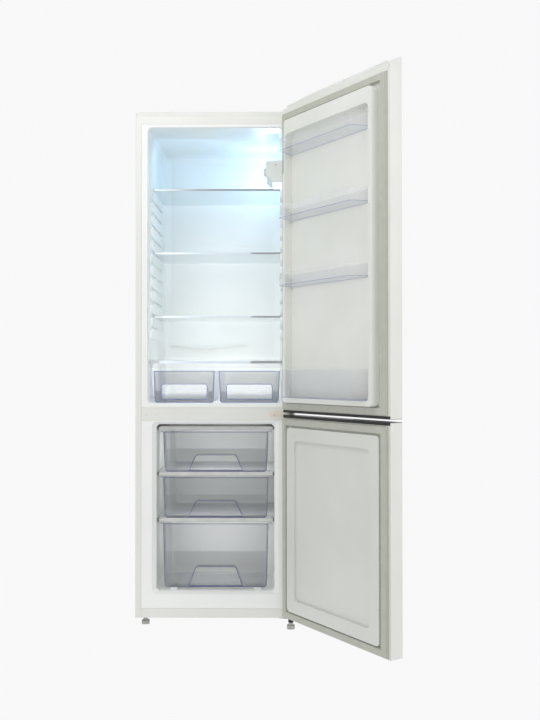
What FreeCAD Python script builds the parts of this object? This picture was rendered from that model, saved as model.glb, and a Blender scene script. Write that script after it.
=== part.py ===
import FreeCAD, Part
import Sketcher
import math
import os
from FreeCAD import Placement, Rotation, Vector

# Bottom freezer refrigerator, 550 mm wide, with both doors open and the drawers in.
# The origin is on the floor under the axis of the door hinges: +X right, +Y back, +Z up.
# Everything on the doors is drawn closed and turned about that axis by the resting angle.

os.makedirs("parts", exist_ok=True)
doc = FreeCAD.newDocument("refrigerator")
sheet = doc.addObject("Spreadsheet::Sheet", "Sizes")


# ---------------------------------------------------------------- sizes

class Size:
    """A length with its value now and the expression that gives it from the sheet."""

    def __init__(self, value, text):
        self.value = value
        self.text = text

    def joined(self, other, sign, value, swap=False):
        other = as_size(other)
        first, second = (other, self) if swap else (self, other)
        return Size(value, "(%s %s %s)" % (first.text, sign, second.text))

    def __add__(self, other):
        return self.joined(other, "+", self.value + as_size(other).value)

    def __radd__(self, other):
        return self.joined(other, "+", self.value + as_size(other).value, True)

    def __sub__(self, other):
        return self.joined(other, "-", self.value - as_size(other).value)

    def __rsub__(self, other):
        return self.joined(other, "-", as_size(other).value - self.value, True)

    def __mul__(self, other):
        return self.joined(other, "*", self.value * as_size(other).value)

    def __rmul__(self, other):
        return self.joined(other, "*", self.value * as_size(other).value, True)

    def __truediv__(self, other):
        return self.joined(other, "/", self.value / as_size(other).value)

    def __neg__(self):
        return Size(-self.value, "(-1 * %s)" % self.text)


def as_size(number):
    return number if isinstance(number, Size) else Size(float(number), repr(float(number)))


rows = []


def size(alias, value, note):
    """A driving dimension: one row of the sheet, with its name, number and meaning."""
    rows.append(alias)
    row = len(rows)
    sheet.set("A%d" % row, alias)
    sheet.set("B%d" % row, str(value))
    sheet.set("C%d" % row, note)
    sheet.setAlias("B%d" % row, alias)
    sheet.recompute()
    return Size(sheet.get(alias), "Sizes." + alias)


# Cabinet
cabinet_width = size("cabinet_width", 550, "over both side walls")
cabinet_height = size("cabinet_height", 1770, "floor to the top panel")
cabinet_depth = size("cabinet_depth", 480, "front frame to back panel")
underside = size("underside", 26, "floor to the underside of the cabinet")
sheet_steel = size("sheet_steel", 1.0, "thickness of the painted sheet")
casing_round = size("casing_round", 2.0, "outer radius of the casing's front edges")
side_flange = size("side_flange", 20, "width of the casing's front flanges")
top_flange = size("top_flange", 28, "height of the casing's top front flange")
top_panel_rise = size("top_panel_rise", 16, "thickness of the top panel")
top_panel_wall = size("top_panel_wall", 3, "wall of the top panel")
hinge_inset = size("hinge_inset", 15, "hinge axis in from the cabinet's right side")
hinge_forward = size("hinge_forward", 33, "hinge axis in front of the front frame")
lining = size("lining", 2.0, "thickness of the plastic liners")
frame_seam = size("frame_seam", 0.6, "open seam between the pieces of the front frame")
rail_bottom = size("rail_bottom", 703, "lower edge of the cross rail above the floor")
rail_top = size("rail_top", 749, "upper edge of the cross rail")
plinth_top = size("plinth_top", 58, "upper edge of the plinth rail")
side_wall = size("side_wall", 43, "insulated side wall of the fridge compartment")
back_wall = size("back_wall", 68, "insulated back wall of the fridge compartment")
top_wall = size("top_wall", 55, "top of the cabinet to the fridge's ceiling")
freezer_side_wall = size("freezer_side_wall", 71, "insulated side wall of the freezer compartment")
freezer_back_wall = size("freezer_back_wall", 85, "insulated back wall of the freezer compartment")
bay_depth = size("bay_depth", 180, "front to back of the compressor bay")
bay_wall = size("bay_wall", 25, "insulated wall before the compressor bay")

# Fridge compartment
fridge_floor = size("fridge_floor", 762, "floor of the fridge compartment")
fridge_ceiling = cabinet_height - top_wall
fridge_width = cabinet_width - 2 * side_wall
fridge_depth = cabinet_depth - back_wall
fridge_round = size("fridge_round", 16, "radius of its long corners")
fridge_back_bend = size("fridge_back_bend", 30, "bend from its walls into the back wall")
mouth_flare = size("mouth_flare", 3, "how much the mouth of a liner widens")
shelf_head = size("shelf_head", 201.5, "fridge's ceiling to the underside of the top shelf's glass")
shelf_foot = size("shelf_foot", 149.5, "crisper cover to the underside of the low shelf's glass")
shelf_steps = size("shelf_steps", 5, "supports from one glass shelf to the next")
support_count = size("support_count", 12, "shelf supports on each side wall")
support_gap = size("support_gap", 14, "between two shelf supports")
support_cut = size("support_cut", 8, "cut corners at the front of a support")
support_depth = size("support_depth", 6.5, "how far a shelf support stands out")
support_front = size("support_front", 60, "front end of the supports behind the front frame")
support_end = size("support_end", 67, "back end of the supports before the back wall")
support_play = size("support_play", 0.3, "between a shelf support and what rests on it")
glass = size("glass", 4, "thickness of the shelf glass")
glass_side = size("glass_side", 2.5, "shelf glass to the side wall")
shelf_front = size("shelf_front", 80, "front of the shelf trims behind the front frame")
shelf_end = size("shelf_end", 46, "back edge of the glass shelves before the back wall")
trim_side = size("trim_side", 4.5, "end of a shelf trim in from the end of its glass")
trim_depth = size("trim_depth", 9, "front to back of a shelf trim")
trim_wall = size("trim_wall", 1.2, "wall of a shelf trim")
drain_side = size("drain_side", 82, "side wall to the nearer end of the drain channel, were it in the middle")
drain_rise = size("drain_rise", 46, "crisper cover to the drain channel")
drain_fall = size("drain_fall", 15.5, "fall of the drain channel to its spout")
drain_offset = size("drain_offset", 60, "drain spout left of the middle")

# Crisper drawers and the shelf above them
cover_front = size("cover_front", 26, "front of the crisper cover behind the front frame")
cover_side = size("cover_side", 1.5, "crisper cover to the side wall")
cover_top = size("cover_top", 914, "top of the crisper cover")
cover_trim = size("cover_trim", 9, "height of the crisper cover's bright trim")
cover_skirt = size("cover_skirt", 16, "clear skirt below the crisper cover's trim")
crisper_front = size("crisper_front", 80, "front of the crispers behind the front frame")
crisper_end = size("crisper_end", 47, "back of a crisper before the back wall")
crisper_top = size("crisper_top", 874, "upper rim of the crispers")
crisper_side = size("crisper_side", 9, "crisper to the side wall")
crisper_inner = size("crisper_inner", 7.5, "inner side of a crisper from the middle")
crisper_taper = size("crisper_taper", 4, "how much a crisper narrows downwards on each side")
crisper_round = size("crisper_round", 9, "corner radius of a crisper")
crisper_grip_width = size("crisper_grip_width", 160, "width of a crisper's grip")
crisper_grip_low = size("crisper_grip_low", 13, "crisper's underside to its grip")
drawer_wall = size("drawer_wall", 2.5, "wall of the clear drawers")
drawer_play = size("drawer_play", 0.4, "clearance under a drawer")
edge_rib = size("edge_rib", 2.0, "width of the raised outline on a drawer's front")
edge_rise = size("edge_rise", 1.5, "how far that outline stands out")

# Freezer compartment
freezer_floor = size("freezer_floor", 116, "floor of the freezer compartment")
freezer_ceiling = size("freezer_ceiling", 690, "ceiling of the freezer compartment")
freezer_width = cabinet_width - 2 * freezer_side_wall
freezer_depth = cabinet_depth - freezer_back_wall
bay_front = cabinet_depth - bay_depth
freezer_low_depth = bay_front - bay_wall
freezer_cut = size("freezer_cut", 9, "cut corners of the freezer compartment")
freezer_step = size("freezer_step", 345, "height of the step over the compressor")
freezer_flare = size("freezer_flare", 14, "how much the mouth of the freezer widens on each side")
freezer_fall = size("freezer_fall", 8.4, "how much it widens at its floor and ceiling")
bay_top = size("bay_top", 322, "roof of the compressor bay")
bar_front = size("bar_front", 30, "front of the white freezer bars behind the front frame")
bar_depth = size("bar_depth", 12, "front to back of a freezer bar")
bar_height = size("bar_height", 15, "height of a freezer bar")
bar_side = size("bar_side", 14, "end of a freezer bar to the side wall")
bar_high = size("bar_high", 675, "middle of the highest freezer bar")
bar_middle = size("bar_middle", 516, "middle of the second freezer bar")
bar_low = size("bar_low", 356, "middle of the lowest freezer bar")
drawer_front = size("drawer_front", 34, "front of the freezer drawers behind the front frame")
drawer_side = size("drawer_side", 21, "freezer drawer to the side wall at its rim")
drawer_taper = size("drawer_taper", 6, "how much a freezer drawer narrows downwards on each side")
drawer_round = size("drawer_round", 12, "corner radius of a freezer drawer")
drawer_rim = size("drawer_rim", 12, "width of a freezer drawer's side rim")
drawer_end = size("drawer_end", 26, "back of an upper freezer drawer before the back wall")
low_drawer_end = size("low_drawer_end", 16, "the same of the lowest one")
grip_recess = size("grip_recess", 22, "depth of the recess behind a drawer's grip")
grip_height = size("grip_height", 51, "height of a drawer's grip")
low_grip_height = size("low_grip_height", 63, "height of the lowest drawer's grip")
ledge_height = size("ledge_height", 9, "height of the ledges under the freezer shelves")
runner_in = size("runner_in", 37, "side of the lowest drawer to the runner under it")
runner_width = size("runner_width", 24, "width of that runner")
bar_to_drawer = size("bar_to_drawer", 5, "freezer bar to the rim of the drawer below it")
grip_top_width = size("grip_top_width", 137, "upper width of a freezer drawer's grip")
grip_low_width = size("grip_low_width", 183, "lower width of a freezer drawer's grip")

# Thermostat and lamp housing
housing_drop = size("housing_drop", 125, "fridge's ceiling to the middle of the housing")
housing_front = size("housing_front", 110, "front of the housing behind the front frame")
housing_depth = size("housing_depth", 150, "front to back of the housing")
housing_width = size("housing_width", 58, "how far the housing stands out from the side wall")
housing_height = size("housing_height", 72, "height of the housing")
lens_height = size("lens_height", 6, "height of the lamp's lens")
knob_radius = size("knob_radius", 15, "radius of the temperature knob")
knob_reach = size("knob_reach", 6, "how far the knob's disc stands out")
knob_rise = size("knob_rise", 6, "knob above the middle of the housing")
knob_play = size("knob_play", 0.3, "knob to housing")

# Doors
door_thick = size("door_thick", 48, "front skin to inner plane")
door_gap = size("door_gap", 13, "front frame to the doors' inner plane, closed")
door_rest = size("door_rest", 124, "opening angle of both doors at rest")
door_round = size("door_round", 7, "outer radius of the doors' upright edges")
upper_low = size("upper_low", 733, "lower end of the upper door")
cap_skirt = size("cap_skirt", 5, "inner skirt of the top cap")
cap_inner = size("cap_inner", 4, "inner edge of the top cap above the skin")
cap_lip = size("cap_lip", 27, "outer lip of the top cap above the skin")
cap_crown = size("cap_crown", 34, "raised middle of that lip above the skin")
crown_side = size("crown_side", 65, "side of the door to that raised middle")
cap_edge = size("cap_edge", 1.2, "edge of an end cap that shows below the skin")
cap_block = size("cap_block", 18, "depth of an end cap inside the skin")
cap_wall = size("cap_wall", 2.5, "wall of an end cap")
skin_return = size("skin_return", 10, "width of the skin's returns behind the door")
grip_from = size("grip_from", 18, "free edge of a door to its grip")
grip_length = size("grip_length", 190, "length of the finger grips")
grip_across = size("grip_across", 26, "width of the finger grips")
notch_drop = size("notch_drop", 4, "depth of the notch below the end of the skin")
cap_notch = size("cap_notch", 11.5, "from the hinge axis to the notch in the top cap")
lower_low = size("lower_low", 39, "lower end of the lower door")
lower_high = size("lower_high", 724, "upper end of the lower door")
grip_band = size("grip_band", 9, "black band at the doors' meeting ends")
gasket_margin = size("gasket_margin", 8, "door edge to the gasket")
gasket_width = size("gasket_width", 26, "width of a gasket")
gasket_base = size("gasket_base", 3, "thickness of the gasket's base")
gasket_head = size("gasket_head", 22, "upper end of the upper door's skin to its gasket")
gasket_play = size("gasket_play", 0.4, "gasket to front frame, door closed")
border_height = size("border_height", 34, "raised border of the upper door's liner")
border_width = size("border_width", 15, "width of its side borders")
notch_width = size("notch_width", 8, "how much narrower")
border_side = size("border_side", 45, "side of the upper door to its liner's border")
border_notch_drop = size("border_notch_drop", 240, "upper door's upper end to the border's narrow part")
border_round = size("border_round", 14, "corner radius of the doors' liner borders")
border_foot = size("border_foot", 36, "lower end of the upper door to its liner's border")
border_head = size("border_head", 58, "upper end of the upper door's skin to that border")
border_top = size("border_top", 47, "width of the border along its head")
low_border_side = size("low_border_side", 39, "side of the lower door to its liner's border")
low_border_foot = size("low_border_foot", 31, "lower end of the lower door to its liner's border")
low_border_head = size("low_border_head", 40, "upper end of the lower door to that border")
low_panel_rise = size("low_panel_rise", 5, "lower liner's panel above the door's inner plane")
low_border_height = size("low_border_height", 13, "raised border of the lower door's liner")
low_border_width = size("low_border_width", 42, "width of that border")
panel_rise = size("panel_rise", 6, "liner panel above the door's inner plane")

# Door shelves
bin_wall = size("bin_wall", 2.2, "wall of the clear door shelves")
bin_front = size("bin_front", 65, "front of a door shelf behind the front frame, closed")
bottle_front = size("bottle_front", 57, "the same of the bottle shelf")
bin_side = size("bin_side", 21, "side of the liner's border to the end of a door shelf")
bin_turn = size("bin_turn", 21, "end of a door shelf to the end of its straight front")
bin_clear = size("bin_clear", 1.5, "back of a door shelf to the liner's panel")
bin_round = size("bin_round", 14, "radius of a door shelf's front folds")
bin_corner = size("bin_corner", 4, "radius of its other corners")
hook_reach = size("hook_reach", 4.5, "how far a door shelf's hooks stand out")
hook_level = size("hook_level", 25, "door shelf's floor to its hooks")
lug_reach = size("lug_reach", 3.5, "how far the lugs stand out from the liner's border")
lug_height = size("lug_height", 26, "height of the lugs")
lug_depth = size("lug_depth", 16, "front to back of the lugs")
bin_head = size("bin_head", 174, "upper end of the door to the floor of its first shelf")
bin_foot = size("bin_foot", 54, "lower end of the door to the floor of its bottle shelf")
bin_share = size("bin_share", 0.274, "share of the height between those two from shelf to shelf")
bin_height = size("bin_height", 42, "height of a door shelf")
bottle_height = size("bottle_height", 93, "height of the bottle shelf")
bin_play = size("bin_play", 0.4, "between a door shelf and its supports")

# Hinges and feet
arm_thick = size("arm_thick", 4, "thickness of the hinge brackets")
arm_half = size("arm_half", 9, "half the width of a hinge arm")
pin_radius = size("pin_radius", 4, "hinge pins")
pin_play = size("pin_play", 0.3, "hinge pin to its bush")
pin_reach = size("pin_reach", 14, "hinge pin inside its bush")
bush_wall = size("bush_wall", 3, "wall of the hinge bushes")
hinge_round = size("hinge_round", 5, "corner radius of the hinge plates")
hinge_run = size("hinge_run", 95, "length of the top hinge on the top panel")
hinge_wide = size("hinge_wide", 54, "width of the hinge plates")
front_plate = size("front_plate", 3, "thickness of the middle hinge's front plate")
front_plate_high = size("front_plate_high", 736, "upper edge of that plate")
front_plate_low = size("front_plate_low", 716, "its lower edge")
front_plate_end = size("front_plate_end", 72, "hinge axis to its far end")
front_plate_start = size("front_plate_start", 18, "hinge axis to its near end")
collar_radius = size("collar_radius", 7, "collars that carry the doors")
screw_radius = size("screw_radius", 2, "shanks of the screws")
screw_head = size("screw_head", 3.6, "radius of the screw heads")
screw_rise = size("screw_rise", 1.8, "height of the screw heads")
screw_play = size("screw_play", 0.3, "screw to its hole")
screw_level = size("screw_level", 722.6, "screws and plugs in the cross rail above the floor")
screw_near = size("screw_near", 22, "hinge axis to the middle hinge's inner screw")
screw_far = size("screw_far", 55.6, "hinge axis to its outer screw")
foot_radius = size("foot_radius", 14, "levelling feet")
foot_height = size("foot_height", 19, "height of a levelling foot below its stud")
hinge_foot_height = size("hinge_foot_height", 12, "the same of the foot under the hinge")
stud_radius = size("stud_radius", 4, "threaded studs of the feet")
foot_in = size("foot_in", 33, "levelling feet in from the cabinet's sides")
foot_back = size("foot_back", 25, "levelling feet behind the front frame")
foot_rear = size("foot_rear", 30, "rear feet before the back panel")

# Cooling
rail_wall = size("rail_wall", 1.5, "thickness of the rail under the compressor")
rail_flange = size("rail_flange", 12, "height of its flanges")
compressor_radius = size("compressor_radius", 74, "radius of the compressor shell")
compressor_height = size("compressor_height", 165, "height of the compressor shell")
compressor_offset = size("compressor_offset", 60, "compressor right of the middle")
bay_clear = size("bay_clear", 16, "bay's front wall to the compressor shell")
mount_radius = size("mount_radius", 11, "rubber mounts of the compressor")
mount_height = size("mount_height", 19, "rear rail's underside to the compressor's base plate")
terminal_reach = size("terminal_reach", 35, "how far the terminal box stands out")
terminal_half = size("terminal_half", 33, "half the width and height of the terminal box")
suction_radius = size("suction_radius", 4, "radius of the suction pipe")
tray_width = size("tray_width", 178, "width of the evaporation tray")
tray_depth = size("tray_depth", 134, "front to back of the evaporation tray")
base_plate = size("base_plate", 3, "thickness of the compressor's base plate")
tray_wall = size("tray_wall", 2, "wall of the evaporation tray")
tray_height = size("tray_height", 34, "height of the evaporation tray")
drier_radius = size("drier_radius", 9, "radius of the filter drier")
drier_length = size("drier_length", 90, "length of the filter drier")
pipe_radius = size("pipe_radius", 2.5, "radius of the refrigerant pipes")
capillary_radius = size("capillary_radius", 1.2, "radius of the capillary tube")
pipe_bend = size("pipe_bend", 14, "bend radius of the pipes")
condenser_low = size("condenser_low", 400, "lowest condenser pass above the floor")
spacer_width = size("spacer_width", 16, "width of a wall spacer")
spacer_height = size("spacer_height", 34, "height of a wall spacer")
spacer_play = size("spacer_play", 0.15, "condenser tube to the spacers that hold it")
condenser_head = size("condenser_head", 304, "casing's top to the highest condenser pass")
condenser_side = size("condenser_side", 27, "cabinet's side to the condenser's bends")
condenser_count = size("condenser_count", 12, "condenser passes")
riser_gap = size("riser_gap", 8, "condenser's bends to the middle of its riser")
tube_radius = size("tube_radius", 2.5, "radius of the condenser tube")
wire_width = size("wire_width", 1.6, "width of the condenser's wires")
wire_count = size("wire_count", 25, "condenser wires")
condenser_gap = size("condenser_gap", 22, "back panel to the condenser tube")
spacer_reach = size("spacer_reach", 40, "wall spacers behind the back panel")
doc.recompute()

# Places that several pieces share
shelf_level = fridge_ceiling - shelf_head
shelf_pitch = (shelf_level - cover_top - shelf_foot) / (2 * shelf_steps)
support_height = shelf_pitch - support_gap
support_back = fridge_depth - support_end
glass_half = fridge_width / 2 - glass_side
shelf_back = fridge_depth - shelf_end
trim_half = glass_half - trim_side
drain_half = fridge_width / 2 - drain_side
drain_level = cover_top + drain_rise
cover_half = fridge_width / 2 - cover_side
crisper_outer = fridge_width / 2 - crisper_side
crisper_depth = fridge_depth - crisper_end - crisper_front
bar_half = freezer_width / 2 - bar_side
drawer_half = freezer_width / 2 - drawer_side
drawer_long = freezer_depth - drawer_end - drawer_front
drawer_short = freezer_low_depth - low_drawer_end - drawer_front
housing_level = fridge_ceiling - housing_drop
upper_high = cabinet_height
crown_half = cabinet_width / 2 - crown_side
border_half = cabinet_width / 2 - border_side
border_notch = upper_high - border_notch_drop
low_border_half = cabinet_width / 2 - low_border_side
bin_half = border_half - bin_side
bin_fold = bin_half - bin_turn
bin_one = upper_high - bin_head
bin_four = upper_low + bin_foot
bin_pitch = (bin_one - bin_four) * bin_share
bin_two = bin_one - bin_pitch
bin_three = bin_two - bin_pitch
centre_x = hinge_inset - cabinet_width / 2
left_x = hinge_inset - cabinet_width
front_y = hinge_forward
back_y = hinge_forward + cabinet_depth
casing_top = cabinet_height - top_panel_rise
inner_y = hinge_forward - door_gap
outer_y = inner_y - door_thick
door_mid_y = inner_y - door_thick / 2
fridge_middle = (fridge_floor + fridge_ceiling) / 2
fridge_height = fridge_ceiling - fridge_floor
grip_y = door_mid_y - lining
plate_thick = bar_height * 0.4
runner_height = bar_height / 2
pan_thick = sheet_steel * 2
rail_depth = 2 * compressor_radius
hinge_under = underside - arm_thick
compressor_x = centre_x + compressor_offset
compressor_y = front_y + bay_front + bay_clear + compressor_radius
compressor_low = underside + mount_height
shell_sides = 16
shell_flat = compressor_radius * math.cos(math.pi / shell_sides)
condenser_y = back_y + condenser_gap
condenser_top = casing_top - condenser_head
condenser_pitch = (condenser_top - condenser_low) / (condenser_count - 1)
condenser_half = cabinet_width / 2 - condenser_side - condenser_pitch / 2
freezer_middle = (freezer_floor + freezer_ceiling) / 2
freezer_height = freezer_ceiling - freezer_floor
top_screws = [(0, front_y + hinge_run * 0.85), (arm_half - hinge_wide * 0.8, front_y + hinge_run * 0.85),
              (arm_half - hinge_wide * 0.5, front_y + hinge_run * 0.4)]
lower_screws = [(-arm_half * 2, front_y + hinge_wide * 0.8), (-arm_half * 3.5, front_y + hinge_wide * 0.5)]


# ---------------------------------------------------------------- drawing helpers

# How round forms are drawn where only their main shape counts: the run of a cut corner as a
# share of its radius, and the numbers of flat sides.
cut_share = 0.6
shank_sides = 8
foot_sides = 12
tube_sides = 6
bend_step = math.radians(45)

PLANES = {"top": "XY_Plane", "front": "XZ_Plane", "side": "YZ_Plane"}
AXES = {"x": "X_Axis", "y": "Y_Axis", "z": "Z_Axis"}
view_of = {}
pieces = []


def bind(target, path, length):
    """Ties one property to the sheet."""
    target.setExpression(path, as_size(length).text)


def keep(piece, label, on_door=False):
    """Names a finished sub-part and turns what sits on a door to the resting angle."""
    piece.Label = label
    if on_door:
        piece.Placement = Placement(Vector(), Rotation(Vector(0, 0, 1), door_rest.value))
        bind(piece, "Placement.Rotation.Angle", door_rest)
    pieces.append(piece)
    return piece


def loose_body(label):
    """A body that only helps to make a sub-part."""
    return doc.addObject("PartDesign::Body", label)


def new_body(label, on_door=False):
    return keep(loose_body(label), label, on_door)


def origin_feature(body, role):
    return next(f for f in body.Origin.OriginFeatures if f.Role == role)


def new_sketch(body, view, across=0, up=0, away=0):
    """A sketch on the body's own plane: across and up in it, away along the third axis."""
    sketch = body.newObject("Sketcher::SketchObject", body.Name + "_sketch")
    sketch.AttachmentSupport = (origin_feature(body, PLANES[view]), [""])
    sketch.MapMode = "FlatFace"
    bind(sketch, "AttachmentOffset.Base.x", across)
    bind(sketch, "AttachmentOffset.Base.y", up)
    bind(sketch, "AttachmentOffset.Base.z", -as_size(away) if view == "front" else away)
    view_of[sketch.Name] = view
    return sketch


def distance(sketch, direction, end, length):
    """A bound distance; end is two geometry points, each a number and a point."""
    length = as_size(length)
    constraint = Sketcher.Constraint("Distance" + direction, *end, length.value)
    index = sketch.addConstraint(constraint)
    bind(sketch, "Constraints[%d]" % index, length)


def draw_rectangle(sketch, width, height, radius=None):
    """A rectangle about the sketch's own zero, with arcs at its corners if it has a radius."""
    width, height = as_size(width), as_size(height)
    x, y = width.value / 2, height.value / 2
    r = as_size(radius).value if radius is not None else 0
    first = sketch.GeometryCount
    ends = [((r - x, -y), (x - r, -y)), ((x, r - y), (x, y - r)),
            ((x - r, y), (r - x, y)), ((-x, y - r), (-x, r - y))]
    for start, end in ends:
        sketch.addGeometry(Part.LineSegment(Vector(*start, 0), Vector(*end, 0)), False)
    if radius is None:
        for side in range(4):
            link = ("Coincident", first + side, 2, first + (side + 1) % 4, 1)
            sketch.addConstraint(Sketcher.Constraint(*link))
        opposite = (first, 1, first + 2, 1, -1, 1)
    else:
        corners = [(x - r, r - y), (x - r, y - r), (r - x, y - r), (r - x, r - y)]
        for turn, corner in enumerate(corners):
            circle = Part.Circle(Vector(*corner, 0), Vector(0, 0, 1), r)
            start = (turn - 1) * math.pi / 2
            sketch.addGeometry(Part.ArcOfCircle(circle, start, start + math.pi / 2), False)
        for side in range(4):
            arc = first + 4 + side
            sketch.addConstraint(Sketcher.Constraint("Tangent", first + side, 2, arc, 1))
            link = ("Tangent", arc, 2, first + (side + 1) % 4, 1)
            sketch.addConstraint(Sketcher.Constraint(*link))
        for arc in (5, 6, 7):
            sketch.addConstraint(Sketcher.Constraint("Equal", first + 4, first + arc))
        index = sketch.addConstraint(Sketcher.Constraint("Radius", first + 4, r))
        bind(sketch, "Constraints[%d]" % index, radius)
        opposite = (first + 5, 3, first + 7, 3, -1, 1)
    for side, kind in enumerate(("Horizontal", "Vertical", "Horizontal", "Vertical")):
        sketch.addConstraint(Sketcher.Constraint(kind, first + side))
    sketch.addConstraint(Sketcher.Constraint("Symmetric", *opposite))
    distance(sketch, "X", (first + 3, 1, first + 1, 1), width)
    distance(sketch, "Y", (first, 1, first + 2, 1), height)
    return sketch


def draw_outline(sketch, points):
    """A closed outline, each corner held from the sketch's zero: (x, y) or (x, y, radius)."""
    corners = [(as_size(p[0]), as_size(p[1]), as_size(p[2]) if len(p) > 2 else None) for p in points]
    places = [Vector(x.value, y.value, 0) for x, y, radius in corners]
    starts, ends, middles = [], [], []
    for index, (x, y, radius) in enumerate(corners):
        here = places[index]
        back = (places[index - 1] - here).normalize()
        ahead = (places[(index + 1) % len(places)] - here).normalize()
        half = back.getAngle(ahead) / 2
        run = radius.value / math.tan(half) if radius else 0
        starts.append(here + ahead * run)
        ends.append(here + back * run)
        middles.append(here + (back + ahead).normalize() * (radius.value / math.sin(half)) if radius else here)
    first = sketch.GeometryCount
    for index in range(len(corners)):
        line = Part.LineSegment(starts[index], ends[(index + 1) % len(corners)])
        sketch.addGeometry(line, False)
    for index, (x, y, radius) in enumerate(corners):
        before, after = first + (index - 1) % len(corners), first + index
        if radius is None:
            sketch.addConstraint(Sketcher.Constraint("Coincident", before, 2, after, 1))
            held = (-1, 1, after, 1)
        else:
            spoke_in, spoke_out = ends[index] - middles[index], starts[index] - middles[index]
            left_turn = spoke_in.cross(spoke_out).z > 0
            low, high = (spoke_in, spoke_out) if left_turn else (spoke_out, spoke_in)
            circle = Part.Circle(middles[index], Vector(0, 0, 1), radius.value)
            angles = [math.atan2(spoke.y, spoke.x) for spoke in (low, high)]
            arc = sketch.addGeometry(Part.ArcOfCircle(circle, *angles), False)
            near, far = (1, 2) if left_turn else (2, 1)
            sketch.addConstraint(Sketcher.Constraint("Tangent", before, 2, arc, near))
            sketch.addConstraint(Sketcher.Constraint("Tangent", after, 1, arc, far))
            bound = sketch.addConstraint(Sketcher.Constraint("Radius", arc, radius.value))
            bind(sketch, "Constraints[%d]" % bound, radius)
            point = sketch.addGeometry(Part.Point(places[index]), True)
            sketch.addConstraint(Sketcher.Constraint("PointOnObject", point, 1, before))
            sketch.addConstraint(Sketcher.Constraint("PointOnObject", point, 1, after))
            held = (-1, 1, point, 1)
        distance(sketch, "X", held, x)
        distance(sketch, "Y", held, y)
    return sketch


def cut_corners(points, chosen=None):
    """The same outline with its rounded corners, or the chosen ones, drawn as straight cuts."""
    places = [Vector(as_size(point[0]).value, as_size(point[1]).value, 0) for point in points]
    result = []
    for index, point in enumerate(points):
        if len(point) < 3 or (chosen is not None and index not in chosen):
            result.append(point)
            continue
        run = point[2] * cut_share
        for other in (index - 1, (index + 1) % len(points)):
            step = (places[other] - places[index]).normalize()
            result.append((point[0] + run * step.x, point[1] + run * step.y))
    return result


def draw_cut_rectangle(sketch, width, height, cut):
    """A rectangle about the sketch's own zero with its four corners cut off."""
    x, y, cut = as_size(width) / 2, as_size(height) / 2, as_size(cut)
    return draw_outline(sketch, [(cut - x, -y), (x - cut, -y), (x, cut - y), (x, y - cut),
                                 (x - cut, y), (cut - x, y), (-x, y - cut), (-x, cut - y)])


def draw_polygon(sketch, radius, sides):
    """A regular polygon about the sketch's own zero, with flats that face the sketch's axes."""
    turn = 2 * math.pi / sides
    spokes = [Vector(math.cos(turn * (i + 0.5)), math.sin(turn * (i + 0.5)), 0) for i in range(sides)]
    corners = [spoke * as_size(radius).value for spoke in spokes]
    for index in range(sides):
        line = Part.LineSegment(corners[index - 1], corners[index])
        sketch.addGeometry(line, False)
    circle = Part.Circle(Vector(), Vector(0, 0, 1), as_size(radius).value)
    ring = sketch.addGeometry(circle, True)
    sketch.addConstraint(Sketcher.Constraint("Coincident", ring, 3, -1, 1))
    bound = sketch.addConstraint(Sketcher.Constraint("Radius", ring, as_size(radius).value))
    bind(sketch, "Constraints[%d]" % bound, radius)
    sketch.addConstraint(Sketcher.Constraint("Vertical", 0))
    for index in range(sides):
        after = (index + 1) % sides
        sketch.addConstraint(Sketcher.Constraint("Coincident", index, 2, after, 1))
        sketch.addConstraint(Sketcher.Constraint("PointOnObject", index, 2, ring))
        if index:
            sketch.addConstraint(Sketcher.Constraint("Equal", 0, index))
    return sketch


def draw_circle(sketch, radius):
    first = sketch.GeometryCount
    circle = Part.Circle(Vector(), Vector(0, 0, 1), as_size(radius).value)
    sketch.addGeometry(circle, False)
    sketch.addConstraint(Sketcher.Constraint("Coincident", first, 3, -1, 1))
    index = sketch.addConstraint(Sketcher.Constraint("Radius", first, as_size(radius).value))
    bind(sketch, "Constraints[%d]" % index, radius)
    return sketch


def extrude(body, kind, sketch, length, forward=True):
    """A Pad or Pocket along the positive axis of the sketch's view, or the negative one."""
    feature = body.newObject("PartDesign::" + kind, body.Name + "_" + kind.lower())
    feature.Profile = sketch
    bind(feature, "Length", length)
    along_normal = forward != (view_of[sketch.Name] == "front")
    feature.Reversed = along_normal != (kind == "Pad")
    sketch.Visibility = False
    return feature


def pad(body, sketch, length, forward=True):
    return extrude(body, "Pad", sketch, length, forward)


def pocket(body, sketch, length, forward=True):
    return extrude(body, "Pocket", sketch, length, forward)


def loft(body, kind, sketches):
    feature = body.newObject("PartDesign::" + kind + "Loft", body.Name + "_loft")
    feature.Profile = (sketches[0], [""])
    feature.Sections = [(sketch, [""]) for sketch in sketches[1:]]
    feature.Ruled = True
    return feature


def rounded(body, base, radius, chosen):
    """A Fillet on the edges of the last feature that the chosen test picks."""
    doc.recompute()
    names = ["Edge%d" % (i + 1) for i, edge in enumerate(base.Shape.Edges) if chosen(edge)]
    fillet = body.newObject("PartDesign::Fillet", body.Name + "_fillet")
    fillet.Base = (base, names)
    bind(fillet, "Radius", radius)
    return fillet


def screw_hole(body, view, place, length):
    """A clearance hole for a screw's shank, with the shank's eight sides."""
    hole = new_sketch(body, view, *place)
    draw_polygon(hole, screw_radius + screw_play, shank_sides)
    return pocket(body, hole, length)


def runs_along(edge, axis, length=0):
    """True for a straight edge along one axis and longer than the length."""
    if edge.Curve.TypeId != "Part::GeomLine" or edge.Length < length:
        return False
    return abs(abs(edge.tangentAt(edge.FirstParameter).dot(axis)) - 1) < 1e-6


def repeated(body, feature, axis, pitch, count):
    """A LinearPattern of one feature, as many as the count in the sheet says."""
    pattern = body.newObject("PartDesign::LinearPattern", body.Name + "_pattern")
    pattern.Originals = [feature]
    pattern.Direction = (origin_feature(body, AXES[axis]), [""])
    bind(pattern, "Length", pitch * (count - 1))
    bind(pattern, "Occurrences", count)
    body.Tip = pattern
    return pattern


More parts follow.
